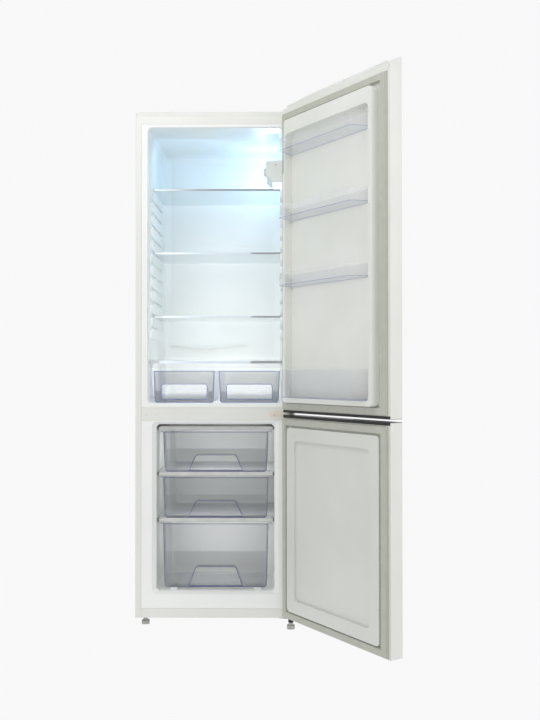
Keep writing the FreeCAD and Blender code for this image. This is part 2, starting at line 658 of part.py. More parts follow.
def new_box(low, high):
    """A box between two corners."""
    box = doc.addObject("Part::Box", "block")
    for axis, side, start, end in zip("xyz", ("Length", "Width", "Height"), low, high):
        bind(box, "Placement.Base." + axis, start)
        bind(box, side, as_size(end) - start)
    return box


def new_cylinder(centre, radius, height, axis="z"):
    """A cylinder from its centre along an axis."""
    cylinder = doc.addObject("Part::Cylinder", "round")
    turn = {"z": Rotation(), "x": Rotation(Vector(0, 1, 0), 90), "y": Rotation(Vector(1, 0, 0), -90)}
    cylinder.Placement = Placement(Vector(), turn[axis])
    for name, place in zip("xyz", centre):
        bind(cylinder, "Placement.Base." + name, place)
    bind(cylinder, "Radius", radius)
    bind(cylinder, "Height", height)
    return cylinder


def new_prism(centre, radius, height, sides):
    """An upright prism from its centre, with flats that face the X and Y axes."""
    prism = doc.addObject("Part::Prism", "prism")
    prism.Polygon = sides
    prism.Placement = Placement(Vector(), Rotation(Vector(0, 0, 1), 180 / sides))
    for name, place in zip("xyz", centre):
        bind(prism, "Placement.Base." + name, place)
    bind(prism, "Circumradius", radius)
    bind(prism, "Height", height)
    return prism


def fused(label, shapes, on_door=False):
    """One solid made of several."""
    union = doc.addObject("Part::MultiFuse", label)
    union.Shapes = shapes
    union.Refine = True
    return keep(union, label, on_door)


def group(label, shapes, on_door=False):
    """Separate solids that share one node."""
    compound = doc.addObject("Part::Compound", label)
    compound.Links = shapes
    return keep(compound, label, on_door)


def cut_from(base, tools):
    """The base with each tool taken out of it."""
    for tool in tools:
        result = doc.addObject("Part::Cut", "cut")
        result.Base = base
        result.Tool = tool
        base = result
    return base


X, Y, Z = Vector(1, 0, 0), Vector(0, 1, 0), Vector(0, 0, 1)


# ---------------------------------------------------------------- cabinet shell

def make_casing():
    """Painted sheet folded over both sides and the top, with flanges turned in at the front."""
    body = new_body("outer_casing")
    plan = new_sketch(body, "top", centre_x, front_y + cabinet_depth / 2, underside)
    draw_rectangle(plan, cabinet_width, cabinet_depth)
    block = pad(body, plan, casing_top - underside)
    rounded(body, block, casing_round, lambda edge: runs_along(edge, Z) and edge.BoundBox.YMin < front_y.value + 1)
    hollow = new_sketch(body, "front", centre_x, casing_top - sheet_steel - cabinet_height / 2, back_y)
    draw_rectangle(hollow, cabinet_width - 2 * sheet_steel, cabinet_height)
    pocket(body, hollow, cabinet_depth - sheet_steel, forward=False)
    window = new_sketch(body, "front", centre_x, casing_top - top_flange - cabinet_height / 2, front_y)
    draw_rectangle(window, cabinet_width - 2 * side_flange, cabinet_height)
    pocket(body, window, sheet_steel)


def make_top_panel():
    """The lid over the casing, hollow underneath."""
    body = new_body("top_panel")
    plan = new_sketch(body, "top", centre_x, front_y + cabinet_depth / 2, casing_top)
    draw_cut_rectangle(plan, cabinet_width, cabinet_depth, top_panel_wall)
    pad(body, plan, top_panel_rise - top_panel_wall / 2)
    brow = [new_sketch(body, "top", centre_x, front_y + cabinet_depth / 2, level)
            for level in (cabinet_height - top_panel_wall / 2, cabinet_height)]
    draw_cut_rectangle(brow[0], cabinet_width, cabinet_depth, top_panel_wall)
    draw_cut_rectangle(brow[1], cabinet_width - top_panel_wall, cabinet_depth - top_panel_wall, top_panel_wall)
    loft(body, "Additive", brow)
    under = new_sketch(body, "top", centre_x, front_y + cabinet_depth / 2, casing_top)
    draw_rectangle(under, cabinet_width - 2 * top_panel_wall, cabinet_depth - 2 * top_panel_wall)
    pocket(body, under, top_panel_rise - top_panel_wall)
    for across, along in top_screws:
        screw_hole(body, "top", (across, along, cabinet_height - top_panel_wall), top_panel_wall)


def frame_piece(body, low, high):
    """A flat piece of the front frame between the casing's side flanges."""
    face = new_sketch(body, "front", centre_x, (low + high) / 2, front_y)
    draw_rectangle(face, cabinet_width - 2 * (side_flange + frame_seam), high - low - frame_seam)
    pad(body, face, lining)
    return body


def fridge_tub(body, kind, wall):
    """The fridge compartment as a loft: a flared mouth, straight walls, a bent back wall."""
    bend = fridge_back_bend + wall
    straight = fridge_depth - fridge_back_bend
    steps = [(as_size(0), mouth_flare), (2 * mouth_flare, as_size(0)), (straight, as_size(0))]
    for angle in (math.radians(45), math.radians(90)):
        steps.append((straight + bend * math.sin(angle), -bend * (1 - math.cos(angle))))
    sections = []
    for deep, wider in steps:
        section = new_sketch(body, "front", centre_x, fridge_middle, front_y + deep)
        draw_rectangle(section, fridge_width + 2 * (wall + wider), fridge_height + 2 * (wall + wider),
                       fridge_round + wall)
        sections.append(section)
    return loft(body, kind, sections)


def add_ledge(body, wall_x, reach, y_low, y_high, low, high, cut):
    """A raised pad on a side wall of a liner, standing out along X, its front corners cut."""
    inward = reach.value > 0
    start = wall_x - lining / 2 if inward else wall_x + lining / 2
    face = new_sketch(body, "side", 0, 0, start)
    draw_outline(face, [(y_low + cut, low), (y_high, low), (y_high, high), (y_low + cut, high),
                        (y_low, high - cut), (y_low, low + cut)])
    return pad(body, face, (reach if inward else -reach) + lining / 2, forward=inward)


def make_fridge_liner():
    """Front frame and tub in one moulding, with shelf supports, cover ledges and drain channel."""
    body = frame_piece(new_body("fridge_liner"), rail_top, casing_top - top_flange)
    fridge_tub(body, "Additive", lining)
    fridge_tub(body, "Subtractive", as_size(0))
    lowest = shelf_level - support_play - support_height - shelf_pitch * (support_count - 1)
    supports = (front_y + support_front, front_y + support_back, lowest, lowest + support_height)
    ledge_top = cover_top - glass - support_play
    ledges = (front_y + support_front, front_y + support_back, ledge_top - cover_skirt, ledge_top)
    for side in (-1, 1):
        wall_x = centre_x + side * fridge_width / 2
        reach = -side * support_depth
        support = add_ledge(body, wall_x, reach, *supports, support_cut)
        repeated(body, support, "z", shelf_pitch, support_count)
        add_ledge(body, wall_x, reach, *ledges, support_cut / 2)
    # the drain channel: two slopes that meet over the spout
    back = new_sketch(body, "front", centre_x - drain_offset, drain_level, front_y + fridge_depth)
    half, lip, fall = drain_half, support_depth, drain_fall
    draw_outline(back, [(0, 0), (half, fall), (half, fall + lip), (0, lip), (-half, fall + lip), (-half, fall)])
    pad(body, back, support_depth * 2, forward=False)
    spout = new_sketch(body, "front", centre_x - drain_offset, drain_level - lip, front_y + fridge_depth)
    draw_outline(spout, [(-lip, 0), (lip, 0), (lip * 2, lip * 1.5), (-lip * 2, lip * 1.5)])
    pad(body, spout, support_depth * 2.5, forward=False)


def freezer_tub(body, kind, wall):
    """The freezer compartment: a flared mouth, a deep upper part and a step over the bay."""
    width, height = freezer_width + 2 * wall, freezer_height + 2 * wall

    def section(deep, wide, tall, middle):
        sketch = new_sketch(body, "front", centre_x, middle, front_y + deep)
        return draw_cut_rectangle(sketch, wide, tall, freezer_cut)

    mouth = section(0, width + 2 * freezer_flare, height + 2 * freezer_fall, freezer_middle)
    throat = section(freezer_flare, width, height, freezer_middle)
    loft(body, kind, [mouth, throat])
    cut_or_add = pad if kind == "Additive" else pocket
    low_part = section(freezer_flare, width, height, freezer_middle)
    cut_or_add(body, low_part, freezer_low_depth - freezer_flare + wall)
    high_height = freezer_ceiling - freezer_step + 2 * wall
    high_part = section(freezer_flare, width, high_height, (freezer_step + freezer_ceiling) / 2)
    cut_or_add(body, high_part, freezer_depth - freezer_flare + wall)


def make_freezer_liner():
    """Front frame and tub of the freezer, with ledges for its shelves and floor runners."""
    body = frame_piece(new_body("freezer_liner"), plinth_top, rail_bottom)
    freezer_tub(body, "Additive", lining)
    freezer_tub(body, "Subtractive", as_size(0))
    for side in (-1, 1):
        wall_x = centre_x + side * freezer_width / 2
        for level in (bar_high, bar_middle, bar_low):
            top = plate_low(level) - support_play
            reach = -side * (freezer_width / 2 - drawer_half - drawer_rim - 1)
            add_ledge(body, wall_x, reach, front_y + support_front, front_y + freezer_low_depth - bay_wall,
                      top - ledge_height, top, ledge_height / 3)
        near, far = front_y + drawer_front, front_y + freezer_low_depth - bay_wall
        runner = new_sketch(body, "top", centre_x + side * (drawer_half - runner_in), (near + far) / 2,
                            freezer_floor)
        draw_rectangle(runner, runner_width, far - near)
        pad(body, runner, runner_height)


def plate_low(level):
    """Underside of the freezer shelf whose bar is at this level."""
    return level + bar_height / 2 - plate_thick


def make_frame_rails():
    """The rail below the freezer, and the one above it with the middle hinge's holes on both sides."""
    plinth = frame_piece(loose_body("plinth_rail"), underside, plinth_top)
    body = frame_piece(loose_body("cross_rail"), rail_bottom, rail_top)
    for across in (screw_near, screw_far):
        for place in (-across, 2 * centre_x + across):
            screw_hole(body, "front", (place, screw_level, front_y), lining)
    group("frame_rails", [plinth, body])


def make_foam():
    """Insulation that fills the cabinet round both compartments and over the compressor bay."""
    skin = sheet_steel
    room = [(freezer_width / 2, freezer_low_depth, freezer_floor, freezer_ceiling),
            (freezer_width / 2, freezer_depth, freezer_step, freezer_ceiling),
            (freezer_width / 2 + freezer_flare, freezer_flare, freezer_floor - freezer_fall,
             freezer_ceiling + freezer_fall),
            (fridge_width / 2, fridge_depth, fridge_floor, fridge_ceiling),
            (fridge_width / 2 + mouth_flare, 2 * mouth_flare, fridge_floor - mouth_flare,
             fridge_ceiling + mouth_flare)]
    forms = [new_box((centre_x - half - lining, front_y, low - lining),
                     (centre_x + half + lining, front_y + deep + lining, high + lining))
             for half, deep, low, high in room]
    block = new_box((left_x + skin, front_y + lining, underside + pan_thick),
                    (hinge_inset - skin, back_y - skin, casing_top - skin))
    bay = new_box((left_x, front_y + bay_front, 0), (hinge_inset, back_y, bay_top))
    keep(cut_from(block, forms + [bay]), "cabinet_foam")


def make_back():
    """Back panel, the sheet folded under the foam and round the compressor bay, the rear rail."""
    skin = sheet_steel
    keep(new_box((left_x + skin, back_y - skin, bay_top), (hinge_inset - skin, back_y, casing_top - skin)),
         "back_panel")
    body = new_body("bay_panel")
    fold = front_y + bay_front
    bend = new_sketch(body, "side", 0, 0, left_x + skin)
    draw_outline(bend, [(front_y + lining, underside), (fold + skin, underside), (fold + skin, bay_top - skin),
                        (back_y, bay_top - skin), (back_y, bay_top), (fold, bay_top),
                        (fold, underside + pan_thick), (front_y + lining, underside + pan_thick)])
    pad(body, bend, cabinet_width - 2 * skin)
    for across, along in lower_screws:
        screw_hole(body, "top", (across, along, underside), pan_thick)
    rail = new_body("compressor_rail")
    section = new_sketch(rail, "side", 0, 0, left_x + skin)
    near, far, wall, flange = back_y - rail_depth, back_y - skin * 2, rail_wall, rail_flange
    draw_outline(section, [(near, underside), (far, underside), (far, underside + flange),
                           (far - wall, underside + flange), (far - wall, underside + wall),
                           (near + wall, underside + wall), (near + wall, underside + flange),
                           (near, underside + flange)])
    pad(rail, section, cabinet_width - 2 * skin)


make_casing()
make_top_panel()
make_fridge_liner()
make_freezer_liner()
make_frame_rails()
make_foam()
make_back()


# ---------------------------------------------------------------- shelves and drawers

def glass_plate(label, middle_x, near, far, half, low, thick, corner):
    body = new_body(label)
    plan = new_sketch(body, "top", middle_x, (near + far) / 2, low)
    draw_cut_rectangle(plan, 2 * half, far - near, corner * cut_share)
    pad(body, plan, thick)
    return body


def make_glass_shelf(name, steps):
    """A glass shelf that slides on the side supports, its front edge in a metal trim."""
    under = shelf_level - shelf_pitch * steps
    front = front_y + shelf_front
    glass_plate(name, centre_x, front + trim_wall, front_y + shelf_back, glass_half, under, glass, glass)
    trim = new_body(name + "_trim")
    section = new_sketch(trim, "side", 0, 0, centre_x - trim_half)
    low, high = under - trim_wall, under + glass + trim_wall
    far, slot = front + trim_depth, front + trim_wall
    draw_outline(section, [(front, low), (far, low), (far, under), (slot, under), (slot, under + glass),
                           (far, under + glass), (far, high), (front, high)])
    pad(trim, section, 2 * trim_half)


def make_crisper_cover():
    """The glass over the crispers, its bright trim and the clear frame with a skirt."""
    front, far = front_y + cover_front, front_y + shelf_back
    under = cover_top - glass
    glass_plate("crisper_cover", centre_x, front, far, cover_half, under, glass, glass)
    trim_top = under - trim_wall
    trim_low = trim_top - cover_trim
    keep(new_box((centre_x - cover_half, front, trim_low), (centre_x + cover_half, front + glass, trim_top)),
         "crisper_cover_trim")
    frame = new_body("crisper_cover_frame")
    section = new_sketch(frame, "side", 0, 0, centre_x - cover_half)
    wall = front + glass + drawer_wall
    draw_outline(section, [(front + glass, trim_low - cover_skirt), (wall, trim_low - cover_skirt),
                           (wall, trim_top), (front + support_front / 2, trim_top),
                           (front + support_front / 2, under), (front, under), (front, trim_top),
                           (front + glass, trim_top)])
    pad(frame, section, 2 * cover_half)


def front_outline(middle, half, taper, low, high, corner, inset):
    """Front view of a drawer: wider at the top, round at its lower corners."""
    wide, narrow = half - inset, half - taper - inset
    return [(middle - wide, high - inset), (middle - narrow, low + inset, corner - inset),
            (middle + narrow, low + inset, corner - inset), (middle + wide, high - inset)]


def grip_outline(middle, grip, inset):
    """Front view of the grip: a trapezoid with round upper corners."""
    low, high, low_width, high_width = grip
    wide, narrow = low_width / 2 - inset, high_width / 2 - inset
    corner = edge_rib * 4 - inset
    return [(middle - wide, low + inset), (middle + wide, low + inset),
            (middle + narrow, high - inset, corner), (middle - narrow, high - inset, corner)]


def make_drawer(label, middle, half, taper, low, high, front, depth, corner, grip, rim):
    """A clear moulded drawer: tapered tub, outlined front, grip recess and side rims."""
    body = new_body(label)
    wall = drawer_wall

    def tub(kind, inset, floor, roof):
        levels = [(roof, 0), (low + corner, taper * 0.9), (floor, taper + corner * 0.4)]
        sections = []
        for level, draft in levels:
            section = new_sketch(body, "top", middle, front + depth / 2 + wall / 4, level)
            side = draft + inset
            rounding = corner - inset
            draw_cut_rectangle(section, 2 * (half - side), depth - wall / 2 - 2 * inset - draft,
                               rounding * cut_share)
            sections.append(section)
        loft(body, kind, sections)

    tub("Additive", as_size(0), low, high)
    face = new_sketch(body, "front", 0, 0, front)
    draw_outline(face, cut_corners(front_outline(middle, half, taper, low, high, corner, as_size(0))))
    pad(body, face, wall)
    if rim:
        rim_plan = new_sketch(body, "top", middle, front + depth / 2 + wall, high - wall)
        draw_cut_rectangle(rim_plan, 2 * (half + drawer_rim), depth - 2 * wall, corner * cut_share)
        pad(body, rim_plan, wall)
    tub("Subtractive", wall, low + wall, high)
    pocket_box = new_sketch(body, "front", 0, 0, front + wall / 2)
    draw_outline(pocket_box, cut_corners(grip_outline(middle, grip, -wall)))
    pad(body, pocket_box, grip_recess + wall / 2)
    mouth = new_sketch(body, "front", 0, 0, front)
    draw_outline(mouth, cut_corners(grip_outline(middle, grip, as_size(0))))
    pocket(body, mouth, grip_recess)
    ribs = new_sketch(body, "front", 0, 0, front)
    for inset in (as_size(0), edge_rib):
        draw_outline(ribs, cut_corners(front_outline(middle, half, taper, low, high, corner, inset)))
        draw_outline(ribs, cut_corners(grip_outline(middle, grip, inset - edge_rib)))
    pad(body, ribs, edge_rise, forward=False)
    return body


def make_crispers():
    half = (crisper_outer - crisper_inner) / 2
    low = fridge_floor + drawer_play
    grip_low = low + crisper_grip_low
    grip = (grip_low, grip_low + grip_height, crisper_grip_width, crisper_grip_width)
    for side, label in ((-1, "crisper_left"), (1, "crisper_right")):
        middle = centre_x + side * (crisper_outer + crisper_inner) / 2
        make_drawer(label, middle, half, crisper_taper, low, crisper_top, front_y + crisper_front,
                    crisper_depth, crisper_round, grip, rim=False)


def make_freezer_shelves():
    """A cold plate over each row of drawers, and the white bars along their front edges."""
    near, far = front_y + bar_front + bar_depth, front_y + freezer_depth - freezer_cut
    half = freezer_width / 2 - lining
    middle_y = front_y + bar_front + bar_depth / 2
    plates, bars = [], []
    for level in (bar_high, bar_middle, bar_low):
        plate = loose_body("cold_plate")
        plan = new_sketch(plate, "top", centre_x, (near + far) / 2, plate_low(level))
        draw_cut_rectangle(plan, 2 * half, far - near, plate_thick)
        pad(plate, plan, plate_thick)
        plates.append(plate)
        bar = loose_body("bar")
        for height, reach in ((bar_height, bar_half), (bar_height * 0.6, half)):
            section = new_sketch(bar, "side", middle_y, level, centre_x - reach)
            draw_cut_rectangle(section, bar_depth, height, height / 5)
            pad(bar, section, 2 * reach)
        bars.append(bar)
    group("freezer_shelves", plates)
    group("freezer_bars", bars)


def make_freezer_drawers():
    levels = [("freezer_drawer_high", bar_middle + bar_height / 2, bar_high, drawer_long, grip_height),
              ("freezer_drawer_middle", bar_low + bar_height / 2, bar_middle, drawer_long, grip_height),
              ("freezer_drawer_low", freezer_floor + runner_height, bar_low, drawer_short, low_grip_height)]
    for label, seat, bar_above, depth, grip_tall in levels:
        low = seat + drawer_play
        high = bar_above - bar_height / 2 - bar_to_drawer
        grip_low = low + edge_rib * 3
        grip = (grip_low, grip_low + grip_tall, grip_low_width, grip_top_width)
        make_drawer(label, centre_x, drawer_half, drawer_taper, low, high, front_y + drawer_front,
                    depth, drawer_round, grip, rim=True)


def make_thermostat():
    """Housing on the right wall with the lamp under it and the temperature knob on its side."""
    wall_x = centre_x + fridge_width / 2
    body = new_body("thermostat_housing")
    face = new_sketch(body, "front", wall_x, housing_level, front_y + housing_front)
    wide, up, down = housing_width, housing_height * 0.47, housing_height * 0.53
    draw_outline(face, [(0, up * 1.15), (-wide, up, wide * 0.08), (-wide, -down * 0.4, wide * 0.35),
                        (-wide * 0.6, -down, wide * 0.25), (0, -down)])
    pad(body, face, housing_depth)
    well = new_sketch(body, "top", wall_x - wide * 0.32, front_y + housing_front + housing_depth / 2,
                      housing_level - down)
    draw_rectangle(well, wide * 0.5, housing_depth * 0.7)
    pocket(body, well, lens_height)
    lens = new_body("lamp_lens")
    cover = new_sketch(lens, "top", wall_x - wide * 0.32, front_y + housing_front + housing_depth / 2,
                       housing_level - down - lens_height / 2)
    draw_rectangle(cover, wide * 0.5, housing_depth * 0.7)
    pad(lens, cover, lens_height * 1.5)
    knob = new_body("thermostat_knob")
    disc = new_sketch(knob, "side", front_y + housing_front + housing_depth * 0.4, housing_level + knob_rise,
                      wall_x - wide - knob_play)
    draw_circle(disc, knob_radius)
    pad(knob, disc, knob_reach, forward=False)
    bar = new_sketch(knob, "side", front_y + housing_front + housing_depth * 0.4, housing_level + knob_rise,
                     wall_x - wide - knob_play - knob_reach)
    draw_rectangle(bar, knob_radius * 0.4, knob_radius * 1.9)
    pad(knob, bar, knob_reach * 0.6, forward=False)


for number, shelf_name in enumerate(("glass_shelf_high", "glass_shelf_middle", "glass_shelf_low")):
    make_glass_shelf(shelf_name, shelf_steps * number)
make_crisper_cover()
make_crispers()
make_freezer_shelves()
make_freezer_drawers()
make_thermostat()


# ---------------------------------------------------------------- doors, drawn closed

def shell_outline(sketch, inset, mouth, rear):
    """Plan of the space inside a door skin, with a narrower mouth between its rear returns."""
    right = hinge_inset - inset
    left = left_x + inset
    corner = door_round - inset
    near = outer_y + inset
    throat = inner_y - inset
    return draw_outline(sketch, [(left, near, corner), (right, near, corner), (right, throat),
                                 (right - mouth, throat), (right - mouth, rear), (left + mouth, rear),
                                 (left + mouth, throat), (left, throat)])


def make_skin(label, low, high, front_rise):
    """The painted sheet of a door, folded round its sides with returns behind."""
    body = new_body(label, on_door=True)
    tall = high + front_rise - low
    plan = new_sketch(body, "top", centre_x, (outer_y + inner_y) / 2, low)
    draw_rectangle(plan, cabinet_width, door_thick)
    block = pad(body, plan, tall)
    rounded(body, block, door_round, lambda edge: runs_along(edge, Z) and edge.BoundBox.YMax < 0)
    hollow = new_sketch(body, "top", 0, 0, low)
    shell_outline(hollow, sheet_steel, skin_return, inner_y + skin_return)
    pocket(body, hollow, tall)
    if front_rise.value:
        step = new_sketch(body, "side", (outer_y + door_round + inner_y + lining) / 2,
                          high + front_rise / 2 + 1, left_x - 1)
        draw_rectangle(step, inner_y + lining - outer_y - door_round, front_rise + 2)
        pocket(body, step, cabinet_width + 2)
        notch_cut(body, high, front_rise)
    return body


def notch_cut(body, high, rise):
    """Takes the upper door's hinge corner away so that the top hinge's arm can turn."""
    notch = new_sketch(body, "top", hinge_inset / 2 + 1 - cap_notch / 2, door_mid_y, high - notch_drop)
    draw_rectangle(notch, hinge_inset + cap_notch + 2, door_thick + 2 * lining + 2)
    pocket(body, notch, rise + notch_drop + 1)


def cap_plan(sketch, inset):
    """Plan of a door's end: the full outline, or what fits inside the skin."""
    right, left, corner = hinge_inset - inset, left_x + inset, door_round - inset
    return draw_outline(sketch, [(left, outer_y + inset, corner), (right, outer_y + inset, corner),
                                 (right, inner_y - inset), (left, inner_y - inset)])


def bush_bore(body, level, forward):
    seat = new_sketch(body, "top", 0, 0, level)
    draw_polygon(seat, bush_radius, shank_sides)
    pocket(body, seat, cap_block + 2, forward=forward)


def make_end_cap(label, end, up, band, grip):
    """A plastic cap that closes a door's end: edge plate, block inside the skin, inner band."""
    body = new_body(label, on_door=True)
    sign = 1 if up else -1
    edge = new_sketch(body, "top", 0, 0, end)
    cap_plan(edge, as_size(0))
    pad(body, edge, cap_edge, forward=up)
    block = new_sketch(body, "top", 0, 0, end)
    cap_plan(block, sheet_steel)
    pad(body, block, cap_block, forward=up)
    returns = 2 * (sheet_steel + skin_return)
    for wide, start in ((cabinet_width - returns, inner_y - sheet_steel), (cabinet_width - 2 * lining, inner_y)):
        strip = new_sketch(body, "front", centre_x, end + sign * band / 2, start)
        draw_rectangle(strip, wide, band)
        pad(body, strip, inner_y + lining - start)
    hollow = new_sketch(body, "top", centre_x, door_mid_y, end + sign * cap_block)
    draw_rectangle(hollow, cabinet_width - 6 * cap_block, door_thick - 4 * lining)
    pocket(body, hollow, cap_block - cap_wall, forward=not up)
    if grip:
        wall = new_sketch(body, "top", left_x + grip_from + grip_length / 2, grip_y, end)
        draw_cut_rectangle(wall, grip_length + 2 * cap_wall, grip_across + 2 * cap_wall, grip_across / 4)
        pad(body, wall, cap_block, forward=up)
        finger = new_sketch(body, "top", left_x + grip_from + grip_length / 2, grip_y, end)
        draw_cut_rectangle(finger, grip_length, grip_across, grip_across / 4)
        pocket(body, finger, cap_block - cap_wall, forward=up)
    bush_bore(body, end, up)
    return body


def make_top_cap():
    """White cap of the upper door: block, inner skirt and a lip that rises to the front."""
    body = new_body("upper_door_top_cap", on_door=True)
    high = upper_high
    block = new_sketch(body, "top", 0, 0, high - cap_block)
    cap_plan(block, sheet_steel)
    pad(body, block, cap_block)
    skirt_front, back = inner_y + lining, outer_y + sheet_steel
    lip = skin_return / 5
    for rise, half in ((cap_lip, cabinet_width / 2), (cap_crown, crown_half)):
        section = new_sketch(body, "side", 0, 0, centre_x - half)
        draw_outline(section, [(back, high), (skirt_front, high), (skirt_front, high + cap_inner),
                               (back + lip, high + rise), (back, high + rise)])
        pad(body, section, 2 * half)
    skirt = new_sketch(body, "front", centre_x, high - cap_skirt / 2, inner_y)
    draw_rectangle(skirt, cabinet_width, cap_skirt)
    pad(body, skirt, lining)
    hollow = new_sketch(body, "top", centre_x, door_mid_y, high - cap_block)
    draw_rectangle(hollow, cabinet_width - 6 * cap_block, door_thick - 4 * lining)
    pocket(body, hollow, cap_block - cap_wall)
    corners = new_sketch(body, "top", 0, 0, high)
    near = outer_y + sheet_steel
    cut = door_round - sheet_steel
    for edge, side in ((left_x, -1), (hinge_inset, 1)):
        wall = edge - side * sheet_steel
        draw_outline(corners, [(edge + side, near - 1), (edge + side, near + cut), (wall, near + cut),
                               (wall - side * cut, near), (wall - side * cut, near - 1)])
    pocket(body, corners, cap_crown + 1)
    notch_cut(body, high, cap_crown)
    bush_bore(body, high, False)


def border_outline(sketch, liner, inset):
    """Front view of a door liner's raised border, notched on the hinge side if it says so."""
    low, high, half, corner, notch = liner
    left, right = centre_x - half + inset, centre_x + half - inset
    low, high, corner = low + inset, high - inset, corner - inset
    points = [(left, low, corner), (right, low, corner)]
    if notch is not None:
        drop = right - notch_width
        points += [(right, notch - inset), (drop, notch + notch_width - inset), (drop, high, corner)]
    else:
        points.append((right, high, corner))
    return draw_outline(sketch, points + [(left, high, corner)])


def panel_outline(sketch, liner, widths, inset):
    """Front view of the recess inside the border."""
    low, high, half, corner, notch = liner
    side, foot, head = widths
    middle = (low + foot + high - head) / 2
    sketch.setExpression("AttachmentOffset.Base.x", centre_x.text)
    bind(sketch, "AttachmentOffset.Base.y", middle)
    return draw_rectangle(sketch, 2 * (half - side - inset), high - head - low - foot - 2 * inset, corner)


def make_door_liner(label, low, high, liner, widths, rise, recess, lugs):
    """White moulded liner: edge plate, raised border and a panel recessed inside it."""
    body = new_body(label, on_door=True)
    plate = new_sketch(body, "front", centre_x, (low + high) / 2, inner_y)
    draw_rectangle(plate, cabinet_width - 4 * lining, high - low)
    pad(body, plate, lining)
    border = new_sketch(body, "front", 0, 0, inner_y)
    border_outline(border, liner, as_size(0))
    pad(body, border, rise)
    panel = new_sketch(body, "front", 0, 0, inner_y + recess)
    panel_outline(panel, liner, widths, as_size(0))
    pocket(body, panel, rise - recess)
    behind = new_sketch(body, "front", 0, 0, inner_y)
    border_outline(behind, liner, lining)
    pocket(body, behind, recess - lining)
    for strip in border_strips(body, liner, widths):
        pocket(body, strip, rise - lining)
    for level in lugs:
        for side in (-1, 1):
            start = centre_x + side * (liner[2] - widths[0] + lining / 2)
            lug = new_sketch(body, "side", inner_y + recess + lug_depth / 2, level - bin_play - lug_height / 2, start)
            draw_rectangle(lug, lug_depth, lug_height)
            pad(body, lug, lug_reach + lining / 2, forward=side < 0)
    return body


def border_strips(body, liner, widths):
    """The hollows behind the border's two uprights and its foot and head."""
    low, high, half, corner, notch = liner
    side, foot, head = widths
    tall, wide = high - low - 2 * corner, 2 * half - 2 * corner
    strips = []
    for sign in (-1, 1):
        spare = notch_width if notch is not None and sign > 0 else as_size(0)
        across = centre_x + sign * (half - side / 2) - spare / 2
        strips.append((across, (low + high) / 2, side - 2 * lining - spare, tall))
    for level, width in ((low + foot / 2, foot), (high - head / 2, head)):
        strips.append((centre_x, level, wide, width - 2 * lining))
    sketches = []
    for across, up, width, height in strips:
        sketch = new_sketch(body, "front", across, up, inner_y)
        sketches.append(draw_rectangle(sketch, width, height))
    return sketches


def make_door_foam(label, low, high, liner, widths, rise, recess):
    """Insulation between a door's skin, caps and liner, up into the liner's border."""
    body = new_body(label, on_door=True)
    plan = new_sketch(body, "top", 0, 0, low + cap_block)
    shell_outline(plan, sheet_steel, skin_return, inner_y)
    pad(body, plan, high - low - 2 * cap_block)
    panel = new_sketch(body, "front", 0, 0, inner_y)
    border_outline(panel, liner, lining)
    pad(body, panel, recess - lining)
    for strip in border_strips(body, liner, widths):
        pad(body, strip, rise - lining)


def make_gasket(label, low, high):
    """Door seal: base, bellows and magnet strip, each a frame narrower than the one below."""
    body = new_body(label, on_door=True)
    start = inner_y + lining
    depths = [gasket_base, gasket_base * 1.3, door_gap - lining - gasket_base * 2.3 - gasket_play]
    for step, depth in enumerate(depths):
        inset = as_size(1.6 * step)
        frame = new_sketch(body, "front", centre_x, (low + high) / 2, start)
        width = cabinet_width - 2 * (gasket_margin + inset)
        height = high - low - 2 * inset
        inner = 2 * (gasket_width - 2 * inset)
        draw_rectangle(frame, width, height)
        draw_rectangle(frame, width - inner, height - inner)
        pad(body, frame, depth)
        start = start + depth


def bin_outline(sketch, front, inset):
    """Plan of a door shelf: straight front, ends turned back round a fold on each side."""
    back, end = inner_y + panel_rise + bin_clear + inset, bin_half - inset
    fold, reach = bin_fold - inset * 0.6, front_y + front - inset
    turn = inner_y + border_height - lug_depth / 2
    left, right = centre_x - end, centre_x + end
    points = [(left, back, bin_corner), (right, back, bin_corner), (right, turn, bin_corner),
              (centre_x + fold, reach, bin_round - inset), (centre_x - fold, reach, bin_round - inset),
              (left, turn, bin_corner)]
    return draw_outline(sketch, cut_corners(points, (0, 1, 2, 5)))


def make_bin(label, floor, height, front):
    """A clear door shelf that hangs by its side hooks from lugs on the liner."""
    body = new_body(label, on_door=True)
    plan = new_sketch(body, "top", 0, 0, floor)
    bin_outline(plan, front, as_size(0))
    pad(body, plan, height)
    room = new_sketch(body, "top", 0, 0, floor + bin_wall)
    bin_outline(room, front, bin_wall)
    pocket(body, room, height)
    rim = new_sketch(body, "top", 0, 0, floor)
    bin_outline(rim, front + edge_rise, as_size(0))
    bin_outline(rim, front - bin_wall / 2, bin_wall / 2)
    pad(body, rim, edge_rib)
    for side in (-1, 1):
        hook = new_sketch(body, "top", centre_x + side * (bin_half + hook_reach / 2 - bin_wall / 4),
                          inner_y + panel_rise + bin_clear + lug_depth / 2 + 1, floor + hook_level)
        draw_rectangle(hook, hook_reach + bin_wall / 2, lug_depth)
        pad(body, hook, bin_wall)


def make_bushes(label, low, high, reach):
    """Bushes for the hinge pins in both ends of a door, eight-sided so that they can't turn."""
    rings = []
    for start in (low, high - reach):
        outer = new_prism((0, 0, start), bush_radius, reach, shank_sides)
        inner = new_cylinder((0, 0, start - 1), pin_radius + pin_play, reach + 2)
        rings.append(cut_from(outer, [inner]))
    group(label, rings, on_door=True)


bush_radius = pin_radius + pin_play + bush_wall
bins = (("door_shelf_high", bin_one, bin_height, bin_front), ("door_shelf_middle", bin_two, bin_height, bin_front),
        ("door_shelf_low", bin_three, bin_height, bin_front), ("bottle_shelf", bin_four, bottle_height, bottle_front))
upper_liner = (upper_low + border_foot, upper_high - border_head, border_half, border_round, border_notch)
upper_widths = (border_width, border_width, border_top)
lower_liner = (lower_low + low_border_foot, lower_high - low_border_head, low_border_half, border_round, None)
lower_widths = (low_border_width, low_border_width, low_border_width)

